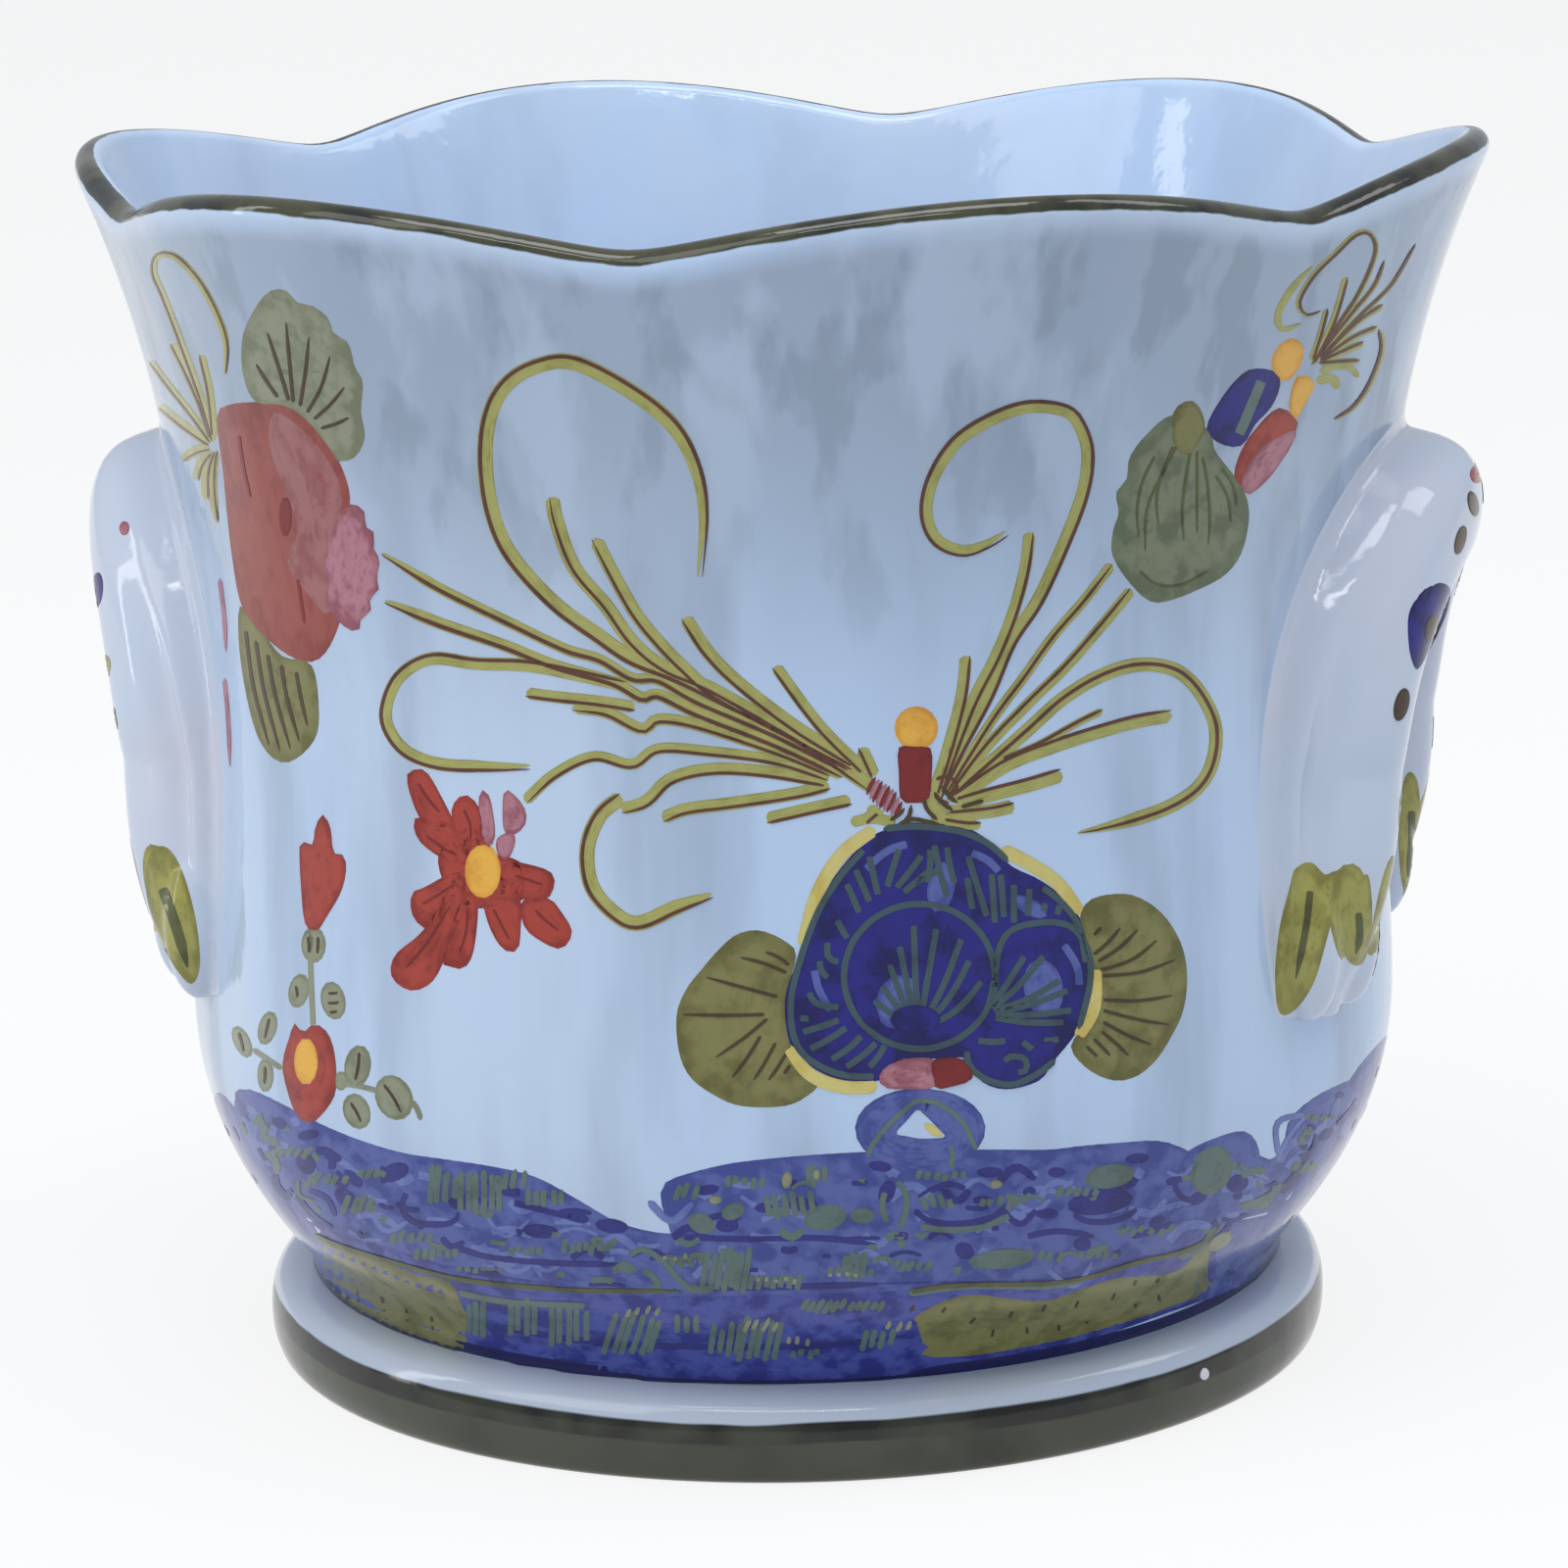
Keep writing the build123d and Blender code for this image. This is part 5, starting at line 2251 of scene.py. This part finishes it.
# Tip, flower, leaves, dabs and veins on the right handle
RIGHT_HANDLE_PAINT = (
    Motif("right_handle_tip", Paint.RED, ovals=rows("1507,484,7,9,0")),
    Motif(
        "right_handle_flower", Paint.BLUE,
        ways(
            "1462,598 1472,595 1480,602 1477,622 1469,642 1459,662 1450,679 1444,682 1438,662 1437,630 "
            "1445,612 1455,612"
        ),
    ),
    Motif(
        "right_handle_leaves", Paint.HANDLE_LEAF,
        ways(
            "1322,886 1338,880 1352,892 1364,890 1363,920 1352,966 1340,1004 1322,1030 1306,1034 1301,1000 "
            "1305,950 1316,905 / 1366,892 1380,888 1386,898 1396,893 1400,926 1398,960 1389,984 1374,978 "
            "1364,940 / 1437,788 1447,800 1449,850 1443,893 1435,915 1429,890 1427,850 1429,812"
        ),
    ),
    Motif(
        "right_handle_dabs", Paint.VEIN,
        ovals=rows("1503,514,5,13,-12 1490,551,5,15,14 1461,641,7,15,12 1430,719,7,17,14"),
        lift=0.00018,
    ),
    Motif(
        "right_handle_veins", Paint.DARK_LEAF,
        strokes=ways("1337,908 1332,950 1322,1000 / 1386,930 1387,955 1383,974 / 1440,826 1440,860 1436,896"),
        width=8.0, tail=0.3, lift=0.00018,
    ),
)

# Tip, flower, leaves and dabs on the left handle
LEFT_HANDLE_PAINT = (
    Motif("left_handle_tip", Paint.PINK, ovals=rows("127,539,5,7,0")),
    Motif("left_handle_flower", Paint.BLUE, ovals=rows("99,602,6,18,4")),
    Motif(
        "left_handle_leaves", Paint.HANDLE_LEAF,
        ways("160,864 174,868 188,894 200,940 204,984 196,1004 182,992 164,960 150,915 150,880"),
        ovals=rows("107,679,6,11,0 112,733,6,11,0"),
    ),
    Motif(
        "left_handle_dabs", Paint.DARK_LEAF,
        strokes=ways("166,905 180,945 192,988"),
        width=12.0, tail=0.3, lift=0.00018,
    ),
)


@dataclass
class Painting:
    """The flowers and sprays on the wall, painted on the front and again on the back.

    The hatch values loosen the hatching. The scatter values rule the short curved strokes of the
    rocks: where they lie along and up a stretch, how far they bow and how wide they are.
    """

    form: PotForm
    camera: PhotoCamera
    skin: Skin
    slot: str = "glazed_earthenware"
    turns: tuple[Matrix, ...] = (Matrix.Identity(4), Matrix.Rotation(math.pi, 4, "Z"))
    handle_slot: str = "glazed_handle"
    wall_cell: float = 2.2
    chip_cell: float = 5.0
    handle_cell: float = 3.5
    handle_jump: float = 0.008
    handle_slack: float = 12.0
    spray_lift: float = 0.0001
    spray_step: float = 0.00001
    line_lift: float = 0.00018
    line_ends: Point = (0.1, 0.05)
    hatch_reach: Point = (0.75, 1.1)
    hatch_aside: float = 1.0
    hatch_up: float = 2.0
    scatter_fineness: float = 4.0
    scatter_length: float = 500.0
    scatter_sheets: int = 3
    scatter_fewest: int = 6
    scatter_along: Point = (0.04, 0.96)
    scatter_up: Point = (0.12, 0.86)
    scatter_look: float = 0.02
    scatter_bow: float = 0.95
    scatter_width: Point = (4.0, 10.5)
    scatter_tail: float = 0.2
    chance: random.Random = field(default_factory=lambda: random.Random(6))

    def film(self, name: str, paint: Paint) -> Film:
        """Starts a film that is placed by pixels on the wall."""
        return Film(name, paint, photo_placer(self.camera, self.skin))

    def paint(
        self, film: Film, motif: Motif, slot: str, turns: Sequence[Matrix] = (Matrix.Identity(4),)
    ) -> None:
        """Fills a film with its motif and makes it a piece."""
        self.fill(film, motif)
        film.finish(slot, turns)

    def lay(self, name: str, blades: Sequence[Blade]) -> None:
        """Lays the strokes of a spray and their brown lines.

        Args:
            name: What the spray is called.
            blades: Its strokes.
        """
        olive = self.film(f"{name}_strokes", Paint.SPRAY)
        brown = self.film(f"{name}_lines", Paint.LINE)
        for index, blade in enumerate(blades):
            lift = self.spray_lift + self.spray_step * (index % 3)
            olive.stroke(blade.points, blade.width, lift, blade.tail, blade.head)
            if blade.line:
                aside = blade.side * blade.width / 2
                brown.stroke(blade.points, blade.line, self.line_lift, *self.line_ends, aside)
        olive.finish(self.slot, self.turns)
        brown.finish(self.slot, self.turns)

    def fill(self, film: Film, motif: Motif) -> None:
        """Puts a motif's patches, sheets, ovals, strokes and hatching into a film.

        Args:
            film: The film.
            motif: What it gets.
        """
        for outline in motif.patches:
            film.patch(outline, motif.lift)
        for x, y, across, up, lean in motif.ovals:
            film.patch(ring(x, y, across, up, lean), motif.lift)
        for lower, upper in motif.sheets:
            film.sheet(lower, upper, motif.lift)
        for points in motif.strokes:
            film.stroke(points, motif.width, motif.lift, motif.tail)
        for x, y, count, spacing, length, lean in motif.hatches:
            turn, aside = math.radians(lean), self.hatch_aside
            for index in range(int(count)):
                across = (index - (count - 1) / 2) * spacing + self.chance.uniform(-aside, aside)
                half = length / 2 * self.chance.uniform(*self.hatch_reach)
                middle = y + self.chance.uniform(-self.hatch_up, self.hatch_up)
                lean_by = math.sin(turn) * half
                rise = math.cos(turn) * half
                points = (
                    (x + across - lean_by, middle + rise),
                    (x + across + self.chance.uniform(-aside, aside), middle),
                    (x + across + lean_by, middle - rise),
                )
                film.stroke(points, motif.width, motif.lift)

    def brushwork(self, name: str, paint: Paint, count: int, reach: Point, lift: float) -> None:
        """Scatters short curved strokes over the stretches of rock that have them.

        Args:
            name: Name of the piece.
            paint: Its pigment.
            count: How many strokes a stretch of rock of the usual length gets.
            reach: Shortest and longest stroke, in pixels.
            lift: How far they stand over the wall.
        """
        film = self.film(name, paint)
        for lower, upper in ROCK_WASH.sheets[: self.scatter_sheets]:
            low_line = smooth_run(lower, self.scatter_fineness)
            high_line = smooth_run(upper, self.scatter_fineness)
            wanted = round(count * (run_length(low_line) / self.scatter_length))
            for _ in range(max(self.scatter_fewest, wanted)):
                share = self.chance.uniform(*self.scatter_along)
                low, high = at_share(low_line, share), at_share(high_line, share)
                middle = low.lerp(high, self.chance.uniform(*self.scatter_up))
                after = at_share(low_line, share + self.scatter_look)
                along = (after - at_share(low_line, share - self.scatter_look)).normalized()
                half = self.chance.uniform(*reach) / 2
                bow = self.chance.uniform(-self.scatter_bow, self.scatter_bow)
                bowed = middle + Vector((-along.y, along.x)) * half * bow
                ends = (middle - along * half, bowed, middle + along * half)
                points = [(end.x, end.y) for end in ends]
                film.stroke(points, self.chance.uniform(*self.scatter_width), lift, self.scatter_tail)
        film.finish(self.slot, self.turns)

    def build(self) -> None:
        """Paints every motif of the wall."""
        self.brushwork("rock_pale_strokes", Paint.PALE_BLUE, 30, (16.0, 60.0), 0.00016)
        self.brushwork("rock_dark_strokes", Paint.DAB, 22, (10.0, 46.0), 0.0002)
        self.brushwork("rock_sage_strokes", Paint.SAGE, 22, (10.0, 34.0), 0.0002)
        for motif in ROCKS + CARNATION + LEFT_FLOWER + RED_FLOWER + BUD + UPPER_FLOWER:
            self.paint(self.film(motif.name, motif.paint), motif, self.slot, self.turns)
        for motif in WALL_ENDS + (NECK_LINE,):
            film = Film(motif.name, motif.paint, wall_placer(self.form, self.skin), self.wall_cell)
            self.paint(film, motif, self.slot, self.turns[:1] if motif is NECK_LINE else self.turns)
        self.lay("left_spray", LEFT_SPRAY)
        self.lay("right_spray", RIGHT_SPRAY)
        self.lay("left_tassel", LEFT_TASSEL)
        self.lay("right_tassel", RIGHT_TASSEL)

    def chip(self, foot: bpy.types.Object) -> None:
        """Lays the bare chip on the foot's band, at the front only.

        Args:
            foot: The foot ring.
        """
        place = photo_placer(self.camera, Skin(foot.data))
        film = Film("foot_chip", Paint.CHIP, place, self.chip_cell)
        film.patch(way("1226,1399 1229,1396 1233,1399 1233,1405 1229,1408 1225,1405"))
        film.finish("glazed_foot")

    def dress(
        self, handle: bpy.types.Object, motifs: Sequence[Motif], facing: Sequence[Motif], turn: float
    ) -> None:
        """Paints a handle on the side that the photograph shows and on the other.

        Args:
            handle: The handle.
            motifs: What is painted on it, in pixels.
            facing: What is painted on the face that looks away from the pot, in millimetres.
            turn: Angle of the handle's middle from the X axis.
        """
        skin = Skin(handle.data)
        spin = Matrix.Rotation(turn, 3, "Z")
        mirror = spin @ Matrix.Diagonal((1.0, -1.0, 1.0)) @ spin.inverted()
        inwards = (math.copysign(self.handle_slack, -math.cos(turn)), 0.0)
        for motif in motifs:
            for side, view in (("near", Matrix.Identity(3)), ("far", mirror)):
                place = photo_placer(self.camera, skin, view, inwards)
                name = f"{motif.name}_{side}"
                film = Film(name, motif.paint, place, self.handle_cell, self.handle_jump)
                self.paint(film, motif, self.handle_slot)
        for motif in facing:
            place = lobe_placer(self.form, skin, turn)
            film = Film(f"{handle.name}_{motif.name}", motif.paint, place, self.wall_cell)
            self.paint(film, motif, self.handle_slot)


@dataclass(frozen=True)
class Lamp:
    """A soft lamp: where it stands, its width and height, its power in watts and its colour."""

    name: str
    place: Point3
    size: Point
    power: float
    colour: Colour = (255, 255, 255)

    def build(self, target: Point3) -> None:
        """Builds the lamp.

        Args:
            target: The place that it faces.
        """
        data = bpy.data.lights.new(self.name, "AREA")
        data.shape = "RECTANGLE"
        data.size, data.size_y = self.size
        data.energy = self.power
        data.color = linear(self.colour)[:3]
        lamp = placed(self.name, data)
        lamp.location = self.place
        aim = Vector(target) - Vector(self.place)
        lamp.rotation_mode = "QUATERNION"
        lamp.rotation_quaternion = aim.to_track_quat("-Z", "Y")


@dataclass
class Studio:
    """Pale floor, white surroundings and soft lamps."""

    floor_size: float = 30.0
    floor_colour: Colour = (222, 224, 226)
    floor_roughness: float = 0.9
    floor_shine: float = 0.1
    floor_white: float = 0.84
    ambient: float = 0.6
    ambient_colour: Colour = (232, 240, 250)
    target: Point3 = (0.0, 0.0, 0.11)
    lamps: tuple[Lamp, ...] = (
        Lamp("key_lamp", (-1.1, -1.2, 1.5), (1.2, 1.2), 9.5, (255, 252, 248)),
        Lamp("top_lamp", (0.1, -0.35, 1.9), (1.4, 0.7), 16.0, (252, 253, 255)),
        Lamp("edge_lamp", (0.15, -1.15, 1.65), (1.0, 0.1), 3.5),
        Lamp("side_lamp", (1.2, 0.4, 1.5), (0.5, 1.0), 5.0, (250, 252, 255)),
        Lamp("strip_lamp", (-1.2, -0.25, 0.5), (0.14, 1.0), 2.0),
    )

    def build_floor(self) -> None:
        """Makes the floor, white for the camera with the object's shadow kept."""
        bench = Bench("pale_floor")
        bench.shader.inputs["Base Color"].default_value = linear(self.floor_colour)
        bench.shader.inputs["Roughness"].default_value = self.floor_roughness
        bench.shader.inputs["Specular IOR Level"].default_value = self.floor_shine
        glow = bench.add("ShaderNodeEmission")
        glow.inputs["Strength"].default_value = 1.0
        path = bench.add("ShaderNodeLightPath")
        seen = bench.sum(path.outputs["Is Camera Ray"], path.outputs["Is Glossy Ray"])
        seen = bench.sum(seen, path.outputs["Is Transmission Ray"])
        share = bench.ramp(seen, 0.0, 1.0, 0.0, self.floor_white)
        mix = bench.add("ShaderNodeMixShader")
        bench.join(share, mix.inputs[0])
        bench.join(bench.shader.outputs[0], mix.inputs[1])
        bench.join(glow.outputs[0], mix.inputs[2])
        output = next(node for node in bench.tree.nodes if node.type == "OUTPUT_MATERIAL")
        bench.join(mix.outputs[0], output.inputs[0])
        shape = bmesh.new()
        bmesh.ops.create_grid(shape, x_segments=2, y_segments=2, size=self.floor_size / 2)
        mesh = bpy.data.meshes.new("pale_floor")
        shape.to_mesh(mesh)
        shape.free()
        mesh.materials.append(bench.material)
        placed("pale_floor", mesh)

    def build_world(self) -> None:
        """Makes the surroundings: white where the camera sees them, soft light elsewhere."""
        world = bpy.data.worlds.new("soft_room")
        bpy.context.scene.world = world
        world.use_nodes = True
        tree = world.node_tree
        tree.nodes.clear()
        output = tree.nodes.new("ShaderNodeOutputWorld")
        soft = tree.nodes.new("ShaderNodeBackground")
        soft.inputs["Color"].default_value = linear(self.ambient_colour)
        soft.inputs["Strength"].default_value = self.ambient
        white = tree.nodes.new("ShaderNodeBackground")
        white.inputs["Color"].default_value = (1.0, 1.0, 1.0, 1.0)
        white.inputs["Strength"].default_value = 1.0
        path = tree.nodes.new("ShaderNodeLightPath")
        mix = tree.nodes.new("ShaderNodeMixShader")
        tree.links.new(path.outputs["Is Camera Ray"], mix.inputs[0])
        tree.links.new(soft.outputs[0], mix.inputs[1])
        tree.links.new(white.outputs[0], mix.inputs[2])
        tree.links.new(mix.outputs[0], output.inputs[0])

    def build(self) -> None:
        """Builds the floor, the surroundings and the lamps."""
        self.build_floor()
        self.build_world()
        for lamp in self.lamps:
            lamp.build(self.target)
        bpy.context.scene.view_settings.view_transform = "Standard"


def main() -> None:
    """Builds the pot, its painting, the camera and the studio."""
    logging.basicConfig(level=logging.INFO, format="%(name)s %(message)s")
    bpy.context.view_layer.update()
    form = PotForm()
    camera = PhotoCamera()
    camera.build()
    bowl = Bowl(form).build()
    foot = FootRing().build()
    left_turn = math.radians(184.0)
    right = Handle(form, "right_handle", "handle_right", 0.0).build()
    left = Handle(form, "left_handle", "handle_left", left_turn).build()
    painting = Painting(form, camera, Skin(bowl.data))
    painting.build()
    painting.chip(foot)
    painting.dress(right, RIGHT_HANDLE_PAINT, (LOBES, LEG_FLOWERS), 0.0)
    painting.dress(left, LEFT_HANDLE_PAINT, (LOBES,), left_turn)
    Studio().build()


if __name__ == "__main__":
    main()
